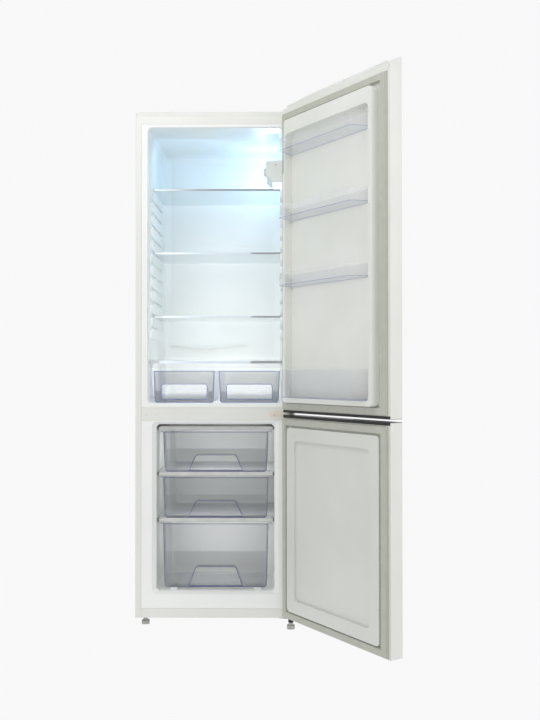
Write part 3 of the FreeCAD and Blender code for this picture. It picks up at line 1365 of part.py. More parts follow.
make_skin("upper_door_skin", upper_low + cap_edge, upper_high, cap_lip - lining)
make_top_cap()
make_end_cap("upper_door_grip_cap", upper_low, True, grip_band, True)
make_door_liner("upper_door_liner", upper_low + grip_band, upper_high - cap_skirt, upper_liner, upper_widths,
                border_height, panel_rise, [floor + hook_level for label, floor, height, front in bins])
make_door_foam("upper_door_foam", upper_low, upper_high, upper_liner, upper_widths, border_height, panel_rise)
make_gasket("upper_door_gasket", upper_low + grip_band + frame_seam, upper_high - gasket_head)
make_bushes("upper_door_bushes", upper_low, upper_high - notch_drop, pin_reach)
for label, floor, height, front in bins:
    make_bin(label, floor, height, front)

make_skin("lower_door_skin", lower_low + cap_edge, lower_high - cap_edge, as_size(0))
make_end_cap("lower_door_grip_cap", lower_high, False, grip_band, True)
make_end_cap("lower_door_foot_cap", lower_low, True, lining, False)
make_door_liner("lower_door_liner", lower_low + lining, lower_high - grip_band, lower_liner, lower_widths,
                low_border_height, low_panel_rise, [])
make_door_foam("lower_door_foam", lower_low, lower_high, lower_liner, lower_widths, low_border_height,
               low_panel_rise)
make_gasket("lower_door_gasket", lower_low + gasket_base, lower_high - grip_band - frame_seam)
make_bushes("lower_door_bushes", lower_low, lower_high, pin_reach)


# ---------------------------------------------------------------- hinges, feet and fasteners

def pin(body, low, high):
    """A pin on the hinge axis."""
    section = new_sketch(body, "top", 0, 0, low)
    draw_circle(section, pin_radius)
    return pad(body, section, high - low)


def collar(body, low, high):
    """A twelve-sided collar that carries a door."""
    section = new_sketch(body, "top", 0, 0, low)
    draw_polygon(section, collar_radius, foot_sides)
    return pad(body, section, high - low)


def arm_outline(sketch, rear, corner):
    """Plan of a hinge plate: a round end about the axis, widening behind it."""
    tip = arm_half * 0.99
    points = [(-arm_half, -arm_half, tip), (arm_half, -arm_half, tip), (arm_half, rear, corner),
              (arm_half - hinge_wide, rear, corner), (arm_half - hinge_wide, front_y + hinge_round * 3, corner),
              (-arm_half, front_y + hinge_round, corner)]
    return draw_outline(sketch, cut_corners(points))


def make_hinges():
    """The three fixed hinges, each with the pins that the doors turn on."""
    top = new_body("hinge_top")
    plan = new_sketch(top, "top", 0, 0, cabinet_height)
    arm_outline(plan, front_y + hinge_run, hinge_round)
    pad(top, plan, arm_thick)
    pin(top, upper_high - notch_drop - pin_reach, cabinet_height)

    middle = new_body("hinge_middle")
    half = (front_plate_end - front_plate_start) / 2
    tall = front_plate_high - front_plate_low
    arm_mid = (lower_high + upper_low) / 2
    face = new_sketch(middle, "front", -front_plate_start - half, front_plate_low + tall / 2, front_y - front_plate)
    draw_cut_rectangle(face, 2 * half, tall, hinge_round / 2)
    pad(middle, face, front_plate)
    arm = new_sketch(middle, "top", 0, 0, arm_mid - arm_thick / 2)
    tip = arm_half * 0.99
    web = front_plate_end * 0.6
    points = [(-arm_half, -arm_half, tip), (arm_half, -arm_half, tip), (arm_half, arm_half, hinge_round),
              (-front_plate_start, front_y - front_plate / 2), (-web, front_y - front_plate / 2),
              (-arm_half, arm_half / 2, hinge_round)]
    draw_outline(arm, cut_corners(points))
    pad(middle, arm, arm_thick)
    pin(middle, lower_high - pin_reach, upper_low + pin_reach)
    collar(middle, arm_mid, upper_low - drawer_play)

    lower = new_body("hinge_lower")
    plan = new_sketch(lower, "top", 0, 0, hinge_under)
    arm_outline(plan, front_y + hinge_wide, hinge_round)
    pad(lower, plan, arm_thick)
    pin(lower, hinge_under + arm_thick / 2, lower_low + pin_reach)
    collar(lower, hinge_under + arm_thick / 2, lower_low - drawer_play)
    for across, along in lower_screws:
        screw_hole(lower, "top", (across, along, hinge_under), arm_thick)
    for across, along in top_screws:
        screw_hole(top, "top", (across, along, cabinet_height), arm_thick)
    for across in (-screw_near, -screw_far):
        screw_hole(middle, "front", (across, screw_level, front_y - front_plate), front_plate)


def make_foot(at, top, height):
    """A levelling foot: a ribbed pad on the floor and the stud it turns on."""
    x, y = at
    pad_low = new_prism((x, y, 0), foot_radius, height * 0.55, foot_sides)
    neck = new_prism((x, y, 0), foot_radius * 0.75, height, foot_sides)
    stud = new_prism((x, y, 0), stud_radius, top, shank_sides)
    foot = doc.addObject("Part::MultiFuse", "foot")
    foot.Shapes = [pad_low, neck, stud]
    return foot


def make_screw(at, view, under, shank):
    """A pan-head screw: the head outside, the shank running inward from under it."""
    screw = loose_body("screw")
    inward = shank.value > 0
    head = new_sketch(screw, view, *at, under)
    draw_polygon(head, screw_head, shank_sides)
    pad(screw, head, screw_rise, forward=not inward)
    stem = new_sketch(screw, view, *at, under)
    draw_polygon(stem, screw_radius, shank_sides)
    pad(screw, stem, shank if inward else -shank, forward=inward)
    return screw


def make_fasteners():
    """Screws of the hinges, and the plugs in the screw holes of the other side."""
    screws = []
    for across in (-screw_near, -screw_far):
        screws.append(make_screw((across, screw_level), "front", front_y - front_plate, front_plate + lining))
    for at in top_screws:
        screws.append(make_screw(at, "top", cabinet_height + arm_thick, -arm_thick - top_panel_wall))
    for at in lower_screws:
        screws.append(make_screw(at, "top", hinge_under, arm_thick + pan_thick))
    group("hinge_screws", screws)
    plugs = []
    for across in (-screw_near, -screw_far):
        plug = loose_body("plug")
        for radius, thick, start in ((screw_head, screw_rise, front_y - screw_rise),
                                     (screw_radius, lining, front_y)):
            disc = new_sketch(plug, "front", 2 * centre_x - across, screw_level, start)
            draw_polygon(disc, radius, shank_sides)
            pad(plug, disc, thick)
        plugs.append(plug)
    group("blanking_plugs", plugs)


make_hinges()
keep(make_foot((0, 0), hinge_under, hinge_foot_height), "hinge_foot")
group("levelling_feet", [make_foot((left_x + foot_in, front_y + foot_back), underside, foot_height),
                         make_foot((left_x + foot_in, back_y - foot_rear), underside, foot_height),
                         make_foot((hinge_inset - foot_in, back_y - foot_rear), underside, foot_height)])
make_fasteners()


# ---------------------------------------------------------------- cooling at the back

def polygon_points(centre, across, upward, radius, sides):
    """The corners of a regular polygon in a plane, with a flat that faces across."""
    turns = [2 * math.pi * (side + 0.5) / sides for side in range(sides)]
    return [centre + across * (radius * math.cos(turn)) + upward * (radius * math.sin(turn)) for turn in turns]


def solid_through(rings):
    """A solid with a flat face at each end and flat sides from each ring of corners to the next."""
    faces = [Part.Face(Part.makePolygon(ring + ring[:1])) for ring in (rings[0], rings[-1])]
    for ring, following in zip(rings, rings[1:]):
        for side in range(len(ring)):
            after = (side + 1) % len(ring)
            corners = [ring[side], ring[after], following[after], following[side], ring[side]]
            faces.append(Part.Face(Part.makePolygon(corners)))
    shell = Part.makeShell(faces)
    shell.sewShape()
    solid = Part.makeSolid(shell)
    if solid.Volume < 0:
        solid.reverse()
    return solid


def make_compressor():
    """Domed steel shell on its base plate, rubber mounts, terminal box and evaporation tray."""
    x, y, low = compressor_x, compressor_y, compressor_low
    rings = []
    for level, share in ((0, 0.72), (0.1, 0.94), (0.25, 1), (0.75, 1), (0.9, 0.94), (1, 0.72)):
        centre = Vector(x.value, y.value, low.value + compressor_height.value * level)
        rings.append(polygon_points(centre, X, Y, compressor_radius.value * share, shell_sides))
    shell = doc.addObject("Part::Feature", "shell")
    shell.Shape = solid_through(rings)
    plate_wide, plate_deep = 2 * compressor_radius + 4 * mount_radius, 1.5 * compressor_radius
    plate = new_box((x - plate_wide / 2, y - plate_deep / 2, low),
                    (x + plate_wide / 2, y + plate_deep / 2, low + base_plate))
    fused("compressor", [shell, plate])
    step_x, step_y = plate_wide / 2 - mount_radius, plate_deep / 2 - mount_radius
    start = underside + rail_wall
    group("compressor_mounts", [new_prism((x + side * step_x, y + end * step_y, start), mount_radius,
                                          low - start, foot_sides) for side in (-1, 1) for end in (-1, 1)])
    middle = low + compressor_height / 2
    keep(new_box((x - shell_flat - terminal_reach, y - terminal_half, middle - terminal_half),
                 (x - shell_flat, y + terminal_half, middle + terminal_half)), "terminal_box")
    tray_low = low + compressor_height
    half_wide, half_deep = tray_width / 2, tray_depth / 2
    outer = new_box((x - half_wide, y - half_deep, tray_low), (x + half_wide, y + half_deep, tray_low + tray_height))
    inner = new_box((x - half_wide + tray_wall, y - half_deep + tray_wall, tray_low + tray_wall),
                    (x + half_wide - tray_wall, y + half_deep - tray_wall, tray_low + tray_height + 1))
    keep(cut_from(outer, [inner]), "evaporation_tray")


def bent_route(points, bend):
    """A route of straight runs with each corner rounded to the bend in short steps."""
    route = [points[0]]
    for before, corner, after in zip(points, points[1:], points[2:]):
        back, ahead = (before - corner).normalize(), (after - corner).normalize()
        half = back.getAngle(ahead) / 2
        centre = corner + (back + ahead).normalize() * (bend / math.sin(half))
        run = bend / math.tan(half)
        enter, leave = corner + back * run - centre, corner + ahead * run - centre
        turn = math.pi - 2 * half
        steps = max(1, round(turn / bend_step))
        for step in range(steps + 1):
            share = turn * step / steps
            spoke = enter * (math.sin(turn - share) / math.sin(turn)) + leave * (math.sin(share) / math.sin(turn))
            if (centre + spoke - route[-1]).Length > 0.01:
                route.append(centre + spoke)
    return route + [points[-1]]


def tube(points, radius, bend):
    """A tube of flat-sided runs, each joined to the next on the plane that halves their angle."""
    route = bent_route(points, bend)
    runs = [(end - start).normalize() for start, end in zip(route, route[1:])]
    across = runs[0].cross(Y if abs(runs[0].y) < 0.9 else X).normalize()
    upward = across.cross(runs[0])
    rings = [polygon_points(route[0], upward, across, radius, tube_sides)]
    for run, ahead, corner in zip(runs, runs[1:] + runs[-1:], route[1:]):
        normal = run + ahead
        rings.append([point + run * ((corner - point).dot(normal) / run.dot(normal)) for point in rings[-1]])
    return solid_through(rings)


def keep_solids(label, shapes):
    piece = doc.addObject("Part::Feature", label)
    piece.Shape = Part.makeCompound(shapes)
    return keep(piece, label)


def make_condenser():
    """One unbroken tube bent to and fro, with a row of wires welded across it."""
    half, pitch, y = condenser_half.value, condenser_pitch.value, condenser_y.value
    count, radius, wire = int(condenser_count.value), tube_radius.value, wire_width.value
    middle, low, top = centre_x.value, condenser_low.value, condenser_top.value
    riser = middle + half + pitch / 2 + riser_gap.value
    points = [Vector(riser, y, low - pitch), Vector(riser, y, top)]
    side = -1
    for index in range(count - 1):
        level = top - pitch * index
        points += [Vector(middle + side * (half + pitch / 2), y, level),
                   Vector(middle + side * (half + pitch / 2), y, level - pitch)]
        side = -side
    points += [Vector(middle + side * half, y, low), Vector(middle + side * half, y, low - pitch)]
    coil = tube(points, radius, pitch / 2)
    reach = half - spacer_width.value * 2
    wires = []
    for index in range(int(wire_count.value)):
        place = Vector(middle - reach + 2 * reach * index / (wire_count.value - 1) - wire / 2,
                       y + radius * math.cos(math.pi / tube_sides), low - pitch / 3)
        wires.append(Part.makeBox(wire, wire, top - low + pitch / 1.5, place))
    keep_solids("condenser", [coil] + wires)
    return Vector(riser, y, low - pitch), Vector(middle + side * half, y, low - pitch)


def make_pipes(inlet, outlet):
    """Discharge pipe, drier with its capillary tube, and the suction pipe."""
    x, y = compressor_x.value, compressor_y.value
    reach, radius, bend = shell_flat.value, pipe_radius.value, pipe_bend.value
    port = compressor_low.value + compressor_height.value * 0.6
    discharge = tube([inlet, Vector(inlet.x, inlet.y, port), Vector(inlet.x, y, port), Vector(x + reach, y, port)],
                     radius, bend)
    drier_y = back_y.value - drier_radius.value * 2
    drier_top = bay_top.value - drier_length.value
    half = drier_length.value / 2
    to_drier = tube([outlet, Vector(outlet.x, outlet.y, drier_top), Vector(outlet.x, drier_y, drier_top),
                     Vector(outlet.x, drier_y, drier_top - half)], radius, bend)
    body_top = drier_top - half
    end = body_top - drier_length.value
    drier = tube([Vector(outlet.x, drier_y, body_top), Vector(outlet.x, drier_y, end)], drier_radius.value, bend)
    panel_y = (front_y + bay_front + sheet_steel).value
    fine = tube([Vector(outlet.x, drier_y, end), Vector(outlet.x, drier_y, end - half),
                 Vector(outlet.x, panel_y, end - half)], capillary_radius.value, bend)
    suction = tube([Vector(x, panel_y, port), Vector(x, y - reach, port)], suction_radius.value, bend)
    keep_solids("refrigerant_pipes", [discharge, to_drier, drier, fine, suction])


def make_spacers():
    """Four plastic blocks that hold the condenser and keep the cabinet off the wall."""
    spacers = []
    for side in (-1, 1):
        for steps in (1, condenser_count - 2):
            x = centre_x + side * (condenser_half - spacer_width)
            level = condenser_low + condenser_pitch * steps
            block = new_box((x - spacer_width / 2, back_y, level - spacer_height / 2),
                            (x + spacer_width / 2, back_y + spacer_reach, level + spacer_height / 2))
            slot = tube_radius + spacer_play
            hold = new_box((x - spacer_width, condenser_y - slot, level - slot),
                           (x + spacer_width, condenser_y + slot, level + slot))
            spacers.append(cut_from(block, [hold]))
    group("wall_spacers", spacers)


make_compressor()
make_pipes(*make_condenser())
make_spacers()


# ---------------------------------------------------------------- check and write

doc.recompute()
for item in doc.Objects:
    if "Invalid" in item.State or "Error" in item.State:
        raise RuntimeError("%s failed: %s" % (item.Name, item.State))
    if item.TypeId in ("PartDesign::Pocket", "PartDesign::Groove", "PartDesign::SubtractiveLoft"):
        before = item.BaseFeature.Shape.Volume
        if before - item.Shape.Volume < 1:
            raise RuntimeError("%s cuts nothing" % item.Name)
for piece in pieces:
    if piece.Shape.isNull() or not piece.Shape.isValid():
        raise RuntimeError("%s has no valid shape" % piece.Label)
    piece.Shape.exportStep("parts/%s.step" % piece.Label)
    print("%-28s %2d solid(s) %12.0f mm3" % (piece.Label, len(piece.Shape.Solids), piece.Shape.Volume))
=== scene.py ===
# %% [markdown]
# # A white bottom freezer refrigerator with both doors open
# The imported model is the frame: every CAD piece is already in place, in metres, with the origin
# on the floor under the hinges, +X to the right, +Y to the back and +Z up. This script gives
# each piece its finish, adds the small parts that are too fine for the CAD model, and sets up
# a plain studio round it.

# %% Load the frame
import math
import bpy
import bmesh
from mathutils import Matrix, Vector


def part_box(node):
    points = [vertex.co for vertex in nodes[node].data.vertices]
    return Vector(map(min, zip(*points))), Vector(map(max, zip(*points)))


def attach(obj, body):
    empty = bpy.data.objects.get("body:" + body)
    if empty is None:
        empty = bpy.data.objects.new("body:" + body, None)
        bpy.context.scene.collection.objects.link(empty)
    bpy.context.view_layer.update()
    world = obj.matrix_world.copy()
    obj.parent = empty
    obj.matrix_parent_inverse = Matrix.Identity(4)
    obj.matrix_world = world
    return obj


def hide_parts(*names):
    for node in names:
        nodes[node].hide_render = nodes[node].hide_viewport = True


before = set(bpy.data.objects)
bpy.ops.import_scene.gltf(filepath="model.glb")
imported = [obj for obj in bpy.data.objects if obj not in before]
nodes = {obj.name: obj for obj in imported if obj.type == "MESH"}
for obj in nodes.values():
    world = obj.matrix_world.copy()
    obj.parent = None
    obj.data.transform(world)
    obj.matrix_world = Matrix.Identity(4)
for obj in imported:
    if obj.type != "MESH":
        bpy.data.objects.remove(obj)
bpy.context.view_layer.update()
print("pieces from the frame:", len(nodes))

# %% [markdown]
# ## The camera
# The photograph was taken from about three metres in front of the cabinet, at the height of the
# crisper drawers. Its place and lens were found by matching corners of the cabinet and of both
# doors in the picture with the same corners of the model, so the two can be compared directly.

# %% Camera
camera_data = bpy.data.cameras.new("camera")
camera_data.sensor_width = 36
camera_data.lens = 44.385
camera_data.shift_x = 0.00102
camera_data.shift_y = -0.0006
camera = bpy.data.objects.new("camera", camera_data)
bpy.context.scene.collection.objects.link(camera)
upright = Matrix.Rotation(math.pi / 2, 4, "X")
pan, tilt, roll = 0.01055, 0.01281, 0.00043
aim = Matrix.Rotation(pan, 4, "Z") @ Matrix.Rotation(tilt, 4, "X") @ Matrix.Rotation(roll, 4, "Y")
camera_place = (-0.04115, -3.02464, 0.87393)
camera.matrix_world = Matrix.Translation(camera_place) @ aim @ upright
bpy.context.scene.camera = camera
print("camera at", tuple(round(v, 3) for v in camera.matrix_world.translation))

# %% [markdown]
# ## Colours and nodes
# Colours are written as the hex values that a painter would read off a screen. Blender's shaders
# work with linear light, so one function converts them. A second small function adds a shader
# node, sets its values and makes its links, so a finish reads from top to bottom.

# %% Colour and node helpers
def linear(hex_colour):
    """An sRGB hex colour as the linear RGBA that shaders use."""
    parts = [int(hex_colour[i:i + 2], 16) / 255 for i in (1, 3, 5)]
    return tuple(c / 12.92 if c <= 0.04045 else ((c + 0.055) / 1.055) ** 2.4 for c in parts) + (1.0,)


def add_node(tree, kind, values=None, links=None, **settings):
    """Adds a node: settings are its properties, values its inputs, links what feeds them."""
    node = tree.nodes.new(kind)
    for name, value in settings.items():
        setattr(node, name, value)
    for name, value in (values or {}).items():
        node.inputs[name].default_value = value
    for name, source in (links or {}).items():
        tree.links.new(source, node.inputs[name])
    return node


def new_finish(name, colour, roughness, **shader_values):
    """A material with one Principled shader whose constants sit on its own sockets."""
    finish = bpy.data.materials.new(name)
    finish.use_nodes = True
    finish.node_tree.nodes.clear()
    shader = add_node(finish.node_tree, "ShaderNodeBsdfPrincipled",
                      {"Base Color": linear(colour), "Roughness": roughness, **shader_values})
    add_node(finish.node_tree, "ShaderNodeOutputMaterial", links={"Surface": shader.outputs[0]})
    return finish, finish.node_tree, shader


print("the casing's white in linear light:", [round(c, 3) for c in linear("#e4e5e0")])

# %% [markdown]
# ## Surface patterns
# No moulded or painted surface is perfectly even. `speckle` is a noise of a real size in
# millimetres, read from Object coordinates so that it stays on its piece when the piece moves.
# `mottle` lets it shift the colour a little, and `relief` turns it into fine bumps.

# %% Pattern helpers
def speckle(tree, size_mm, stretch=(1, 1, 1)):
    """Noise whose grains are about size_mm across, drawn out along an axis by stretch."""
    place = add_node(tree, "ShaderNodeTexCoord")
    spread = add_node(tree, "ShaderNodeMapping", {"Scale": stretch}, {"Vector": place.outputs["Object"]})
    grain = add_node(tree, "ShaderNodeTexNoise", {"Scale": 1000 / size_mm, "Detail": 2.0},
                     {"Vector": spread.outputs[0]})
    return grain.outputs["Fac"]


def mottle(tree, shader, pattern, dark, light):
    """The pattern as a drift between two near colours."""
    ramp = add_node(tree, "ShaderNodeValToRGB", links={"Fac": pattern})
    ramp.color_ramp.elements[0].position, ramp.color_ramp.elements[1].position = 0.3, 0.7
    ramp.color_ramp.elements[0].color, ramp.color_ramp.elements[1].color = linear(dark), linear(light)
    tree.links.new(ramp.outputs[0], shader.inputs["Base Color"])


def relief(tree, shader, pattern, depth_mm, strength):
    """The pattern as bumps of the given depth."""
    bump = add_node(tree, "ShaderNodeBump", {"Strength": strength, "Distance": depth_mm / 1000},
                    {"Height": pattern})
    tree.links.new(bump.outputs[0], shader.inputs["Normal"])


print("patterns: speckle, mottle, relief")

# %% [markdown]
# ## White enamel
# The casing, top and door skins are steel sheet with a baked polyester powder coat. The powder
# flows out into a gloss with a faint orange peel, about 3 mm from crest to crest. That ripple is
# drawn as bumps, and a coat layer gives the clean highlight of the cured surface.

# %% White enamel
enamel, tree, shader = new_finish("white_powder_coat", "#e4e5e0", 0.32,
                                  **{"IOR": 1.5, "Coat Weight": 0.25, "Coat Roughness": 0.12})
mottle(tree, shader, speckle(tree, 180), "#e1e2dc", "#e6e7e2")
relief(tree, shader, speckle(tree, 3), 0.05, 0.35)
print("enamel:", enamel.name)

# %% [markdown]
# ## White mouldings and liners
# The compartments and the upper door's panel are thermoformed from sheets of high impact
# polystyrene, which is satin and a little wavy. The caps and rails are injection moulded ABS with
# a fine spark-eroded grain. That grain is about a tenth of a millimetre on the real pieces and
# too fine to show here, so it is drawn at 0.9 to 1.6 mm. The door's panel looks greyer in the
# picture than the compartments, so it has a finish of its own: the same sheet, drawn greyer as painted
# shade.

# %% White plastics
# High impact polystyrene sheet, thermoformed: a satin white with a slow drift of tone.
liner, tree, shader = new_finish("thermoformed_polystyrene", "#eef1f0", 0.38, **{"IOR": 1.59})
mottle(tree, shader, speckle(tree, 220), "#edf0ee", "#f3f5f3")
relief(tree, shader, speckle(tree, 1.6), 0.03, 0.3)
# ABS, injection moulded in a grained tool: a duller and slightly greyer white.
moulding, tree, shader = new_finish("white_abs", "#dfe0dc", 0.42, **{"IOR": 1.53})
mottle(tree, shader, speckle(tree, 90), "#dcddd9", "#e2e3df")
relief(tree, shader, speckle(tree, 0.9), 0.04, 0.4)
# The upper door's polystyrene sheet: the same satin, drawn a little greener and greyer as painted shade.
shaded_door_panel, tree, shader = new_finish("thermoformed_door_panel_painted_shade", "#e3e6e0", 0.38, **{"IOR": 1.59})
mottle(tree, shader, speckle(tree, 220), "#dfe2db", "#e6e8e3")
relief(tree, shader, speckle(tree, 1.6), 0.03, 0.3)
print("plastics:", liner.name, moulding.name, shaded_door_panel.name)

# %% [markdown]
# ## The lower door's dimpled panel
# Both doors have a moulded inner panel. The lower one is the same polystyrene, drawn over a
# tool with shallow columns of dimples, which show as faint rows in the picture. Its colour is
# drawn darker than the liner's, as painted shade on the lower door. A Voronoi pattern without
# randomness puts one dimple every 12 mm across and 24 mm up.

# %% Lower door panel
# Polystyrene sheet, formed over a dimpled tool: the bowls hold faint rows of shade. Its colour is drawn
# darker than the liner's as painted shade.
dimple_pitch, bowl_edge = 12, 0.35
dimpled, tree, shader = new_finish("dimpled_polystyrene_painted_shade", "#e6e8e3", 0.45, **{"IOR": 1.59})
mottle(tree, shader, speckle(tree, 220), "#d3d6d0", "#d9dcd6")
place = add_node(tree, "ShaderNodeTexCoord")
grid = add_node(tree, "ShaderNodeMapping", {"Scale": (1, 1, 0.5)}, {"Vector": place.outputs["Object"]})
dots = add_node(tree, "ShaderNodeTexVoronoi", {"Scale": 1000 / dimple_pitch, "Randomness": 0.0},
                {"Vector": grid.outputs[0]})
bowl = add_node(tree, "ShaderNodeMath", {1: bowl_edge}, {0: dots.outputs["Distance"]}, operation="MINIMUM")
relief(tree, shader, bowl.outputs[0], 0.5, 0.5)
print("panel:", dimpled.name)

# %% [markdown]
# ## Clear polystyrene
# Drawers and door shelves are injection moulded from clear general purpose polystyrene. It is
# almost colourless where one looks through a wall and blue-violet where light runs along an
# edge. Refraction through many thin walls would cost light and show little, so the walls are
# drawn as a thin film: mostly see-through, with a gloss on top. The raised outline on a front
# is an edge, found by its depth in Object coordinates, and a Layer Weight node thickens and
# tints whatever is seen edge on.

# %% Clear plastic
def clear_moulding(name, body, edge, edges=None, axis=1, thin=0.09, thick=0.92):
    """See-through walls: alpha runs from thin, seen square on, to thick, seen edge on. Between
    the two places in edges along an axis they take the edge colour however they are seen."""
    finish, tree, shader = new_finish(name, body, 0.08, **{"IOR": 1.59})
    rim = add_node(tree, "ShaderNodeLayerWeight", {"Blend": 0.12})
    mask = rim.outputs["Facing"]
    if edges:
        place = add_node(tree, "ShaderNodeTexCoord")
        axes = add_node(tree, "ShaderNodeSeparateXYZ", links={"Vector": place.outputs["Object"]})
        along = axes.outputs[axis]
        above = add_node(tree, "ShaderNodeMath", {1: edges[0]}, {0: along}, operation="GREATER_THAN")
        below = add_node(tree, "ShaderNodeMath", {1: edges[1]}, {0: along}, operation="LESS_THAN")
        rib = add_node(tree, "ShaderNodeMath", links={0: above.outputs[0], 1: below.outputs[0]},
                       operation="MULTIPLY")
        either = add_node(tree, "ShaderNodeMath", links={0: rib.outputs[0], 1: mask},
                          operation="MAXIMUM")
        mask = either.outputs[0]
    tint = add_node(tree, "ShaderNodeMix", {6: linear(body), 7: linear(edge)}, {0: mask}, data_type="RGBA")
    body_of_wall = add_node(tree, "ShaderNodeMapRange", {3: thin, 4: thick}, {0: mask})
    tree.links.new(tint.outputs[2], shader.inputs["Base Color"])
    tree.links.new(body_of_wall.outputs[0], shader.inputs["Alpha"])
    relief(tree, shader, speckle(tree, 40), 0.2, 0.3)
    return finish


# General purpose polystyrene, injection moulded and polished: clear walls with coloured edges. The
# outline stands 1.5 mm out from a drawer's front. A door shelf's floor is 2.2 mm thick, and its
# edge shows as a line along the bottom.
outline_from, outline_to = -0.001, 0.0014
floor_from, floor_to = 0.0003, 0.0017
crisper_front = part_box("crisper_left")[0][1]
drawer_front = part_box("freezer_drawer_low")[0][1]
crisper_plastic = clear_moulding("clear_polystyrene_crisper", "#f2f7fb", "#5660ac",
                                 (crisper_front + outline_from, crisper_front + outline_to), thin=0.05)
drawer_plastic = clear_moulding("clear_polystyrene_drawer", "#e4e8ea", "#3f467f",
                                (drawer_front + outline_from, drawer_front + outline_to), thin=0.06)
door_shelf_plastic = {}
for name in ("door_shelf_high", "door_shelf_middle", "door_shelf_low", "bottle_shelf"):
    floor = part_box(name)[0][2]
    door_shelf_plastic[name] = clear_moulding("clear_polystyrene_" + name, "#f0f3f4", "#8089bd",
                                              (floor + floor_from, floor + floor_to), axis=2,
                                              thin=0.06, thick=0.7)
print("clear plastics:", crisper_plastic.name, drawer_plastic.name, sorted(door_shelf_plastic))

# %% [markdown]
# ## Glass, metal and the smaller plastics
# The shelves are toughened float glass and use the see-through finish again, with no outline.
# The trims mirror the white liner as a thin dark and bright line. The other finishes here need
# only a base colour, a sheen and one noise, as a drift of tone or as fine bumps. The grain of
# seals and black mouldings is finer than a pixel, so it is drawn about a millimetre wide.

# %% Glass and trims
# Float glass, toughened: clear seen square on, greenish and denser along its edge.
glass = clear_moulding("float_glass", "#eaf5f6", "#8fb0b4", thin=0.1, thick=0.55)
# Chromed strip, drawn through a die: streaks along its length draw out what it mirrors.
chrome, tree, shader = new_finish("bright_trim", "#c9ced2", 0.16, **{"Metallic": 1.0})
relief(tree, shader, speckle(tree, 2, stretch=(0.05, 1, 1)), 0.02, 0.3)
print("glass and trim:", glass.name, chrome.name)

# %% Metals, seals and black mouldings
# Steel sheet, hot-dip galvanised: dull grey metal with a faint spangle.
zinc, tree, shader = new_finish("galvanised_steel", "#b9bcbb", 0.42, **{"Metallic": 1.0})
mottle(tree, shader, speckle(tree, 14), "#a9adad", "#c6c9c8")
# Pressed steel with a beige stove enamel: a warm off-white, softly glossy.
hinge_enamel, tree, shader = new_finish("beige_enamel", "#e2dbcc", 0.4, **{"IOR": 1.5})
mottle(tree, shader, speckle(tree, 25), "#ded6c6", "#e7e0d3")
# Zinc-plated steel: brighter than galvanised sheet, with faint tool marks.
screw_steel, tree, shader = new_finish("zinc_plated_screw", "#c3c4c2", 0.3, **{"Metallic": 1.0})
relief(tree, shader, speckle(tree, 1.0), 0.02, 0.4)
# Soft PVC, extruded: a matt warm grey.
seal, tree, shader = new_finish("grey_pvc_seal", "#babbb2", 0.6, **{"IOR": 1.53})
mottle(tree, shader, speckle(tree, 30), "#b6b7ad", "#bcbdb4")
relief(tree, shader, speckle(tree, 1.2), 0.05, 0.5)
# ABS, injection moulded in black: dark, with a reflection that the grain breaks up.
black, tree, shader = new_finish("black_abs", "#141416", 0.3, **{"IOR": 1.53})
relief(tree, shader, speckle(tree, 0.9), 0.03, 0.3)
print("metals, seal and black:", zinc.name, hinge_enamel.name, screw_steel.name, seal.name, black.name)

# %% [markdown]
# ## Bushes, feet and the cooling parts
# The small mouldings differ mostly in sheen. Behind the cabinet everything is enamelled, rubber
# or bare copper. Two near colours that drift into each other keep each of them from looking like
# flat paint. The cells of foam and the grain of rubber are finer than a pixel, so they are drawn
# one to four millimetres wide.

# %% Bushes, feet and cooling parts
# Acetal, injection moulded: off-white and waxy.
bearing, tree, shader = new_finish("acetal_bush", "#e6e6e0", 0.35, **{"IOR": 1.48})
mottle(tree, shader, speckle(tree, 6), "#e0e0da", "#ecece6")
# Polypropylene, injection moulded: grey and dull.
foot, tree, shader = new_finish("grey_polypropylene_foot", "#b4b6ac", 0.55, **{"IOR": 1.49})
mottle(tree, shader, speckle(tree, 8), "#a9aba1", "#bdbfb6")
# Polystyrene, injection moulded with a little white in it: milky bars with a soft gloss, drawn grey as
# painted shade.
milky, tree, shader = new_finish("milky_polystyrene_painted_shade", "#cacccc", 0.3, **{"IOR": 1.59})
mottle(tree, shader, speckle(tree, 30), "#c3c5c2", "#d1d3d0")
# Aluminium plate, painted: a cool white with a slight drift of tone.
cold_plate, tree, shader = new_finish("evaporator_plate", "#dfe2e1", 0.4, **{"IOR": 1.5})
mottle(tree, shader, speckle(tree, 60), "#dadddc", "#e6e8e7")
# Polyurethane foam, cut: yellowish, with open cells that hold small shadows.
foam, tree, shader = new_finish("polyurethane_foam", "#e3d9b4", 0.9, **{"IOR": 1.45})
mottle(tree, shader, speckle(tree, 4), "#d6caa2", "#ece3c4")
relief(tree, shader, speckle(tree, 1.5), 0.3, 0.7)
# Steel with a black stove enamel: dark, with a slight orange peel in its highlights.
dark_enamel, tree, shader = new_finish("black_stove_enamel", "#1b1c1e", 0.38, **{"IOR": 1.5})
relief(tree, shader, speckle(tree, 3), 0.05, 0.35)
# Rubber, moulded: black and matt, with hardly a highlight.
rubber, tree, shader = new_finish("black_rubber", "#202022", 0.75, **{"IOR": 1.52})
relief(tree, shader, speckle(tree, 1.2), 0.06, 0.5)
# Copper tube, drawn: a bright metal that has gone patchy with handling.
copper, tree, shader = new_finish("copper_tube", "#c07a55", 0.3, **{"Metallic": 1.0})
mottle(tree, shader, speckle(tree, 18), "#a8643f", "#cc8862")
print("cooling parts:", dark_enamel.name, rubber.name, copper.name)

# %% [markdown]
# ## The lamp's lens
# The lamp sits behind an opal cover under the housing. When the door is open it shines, with a
# cold white light that turns the upper half of the compartment pale blue. The cover's own glow
# shows but lights little. The light in the compartment comes from the cell named Lights.

# %% Lamp lens
# Opal acrylic, injection moulded: milky, so that the lamp behind it shows as an even glow.
lens, tree, shader = new_finish("opal_lamp_cover", "#f4fbff", 0.4, **{
    "IOR": 1.49, "Emission Color": linear("#dff2ff"), "Emission Strength": 2.5})
mottle(tree, shader, speckle(tree, 10), "#eaf6ff", "#fbfeff")
print("lens:", lens.name)

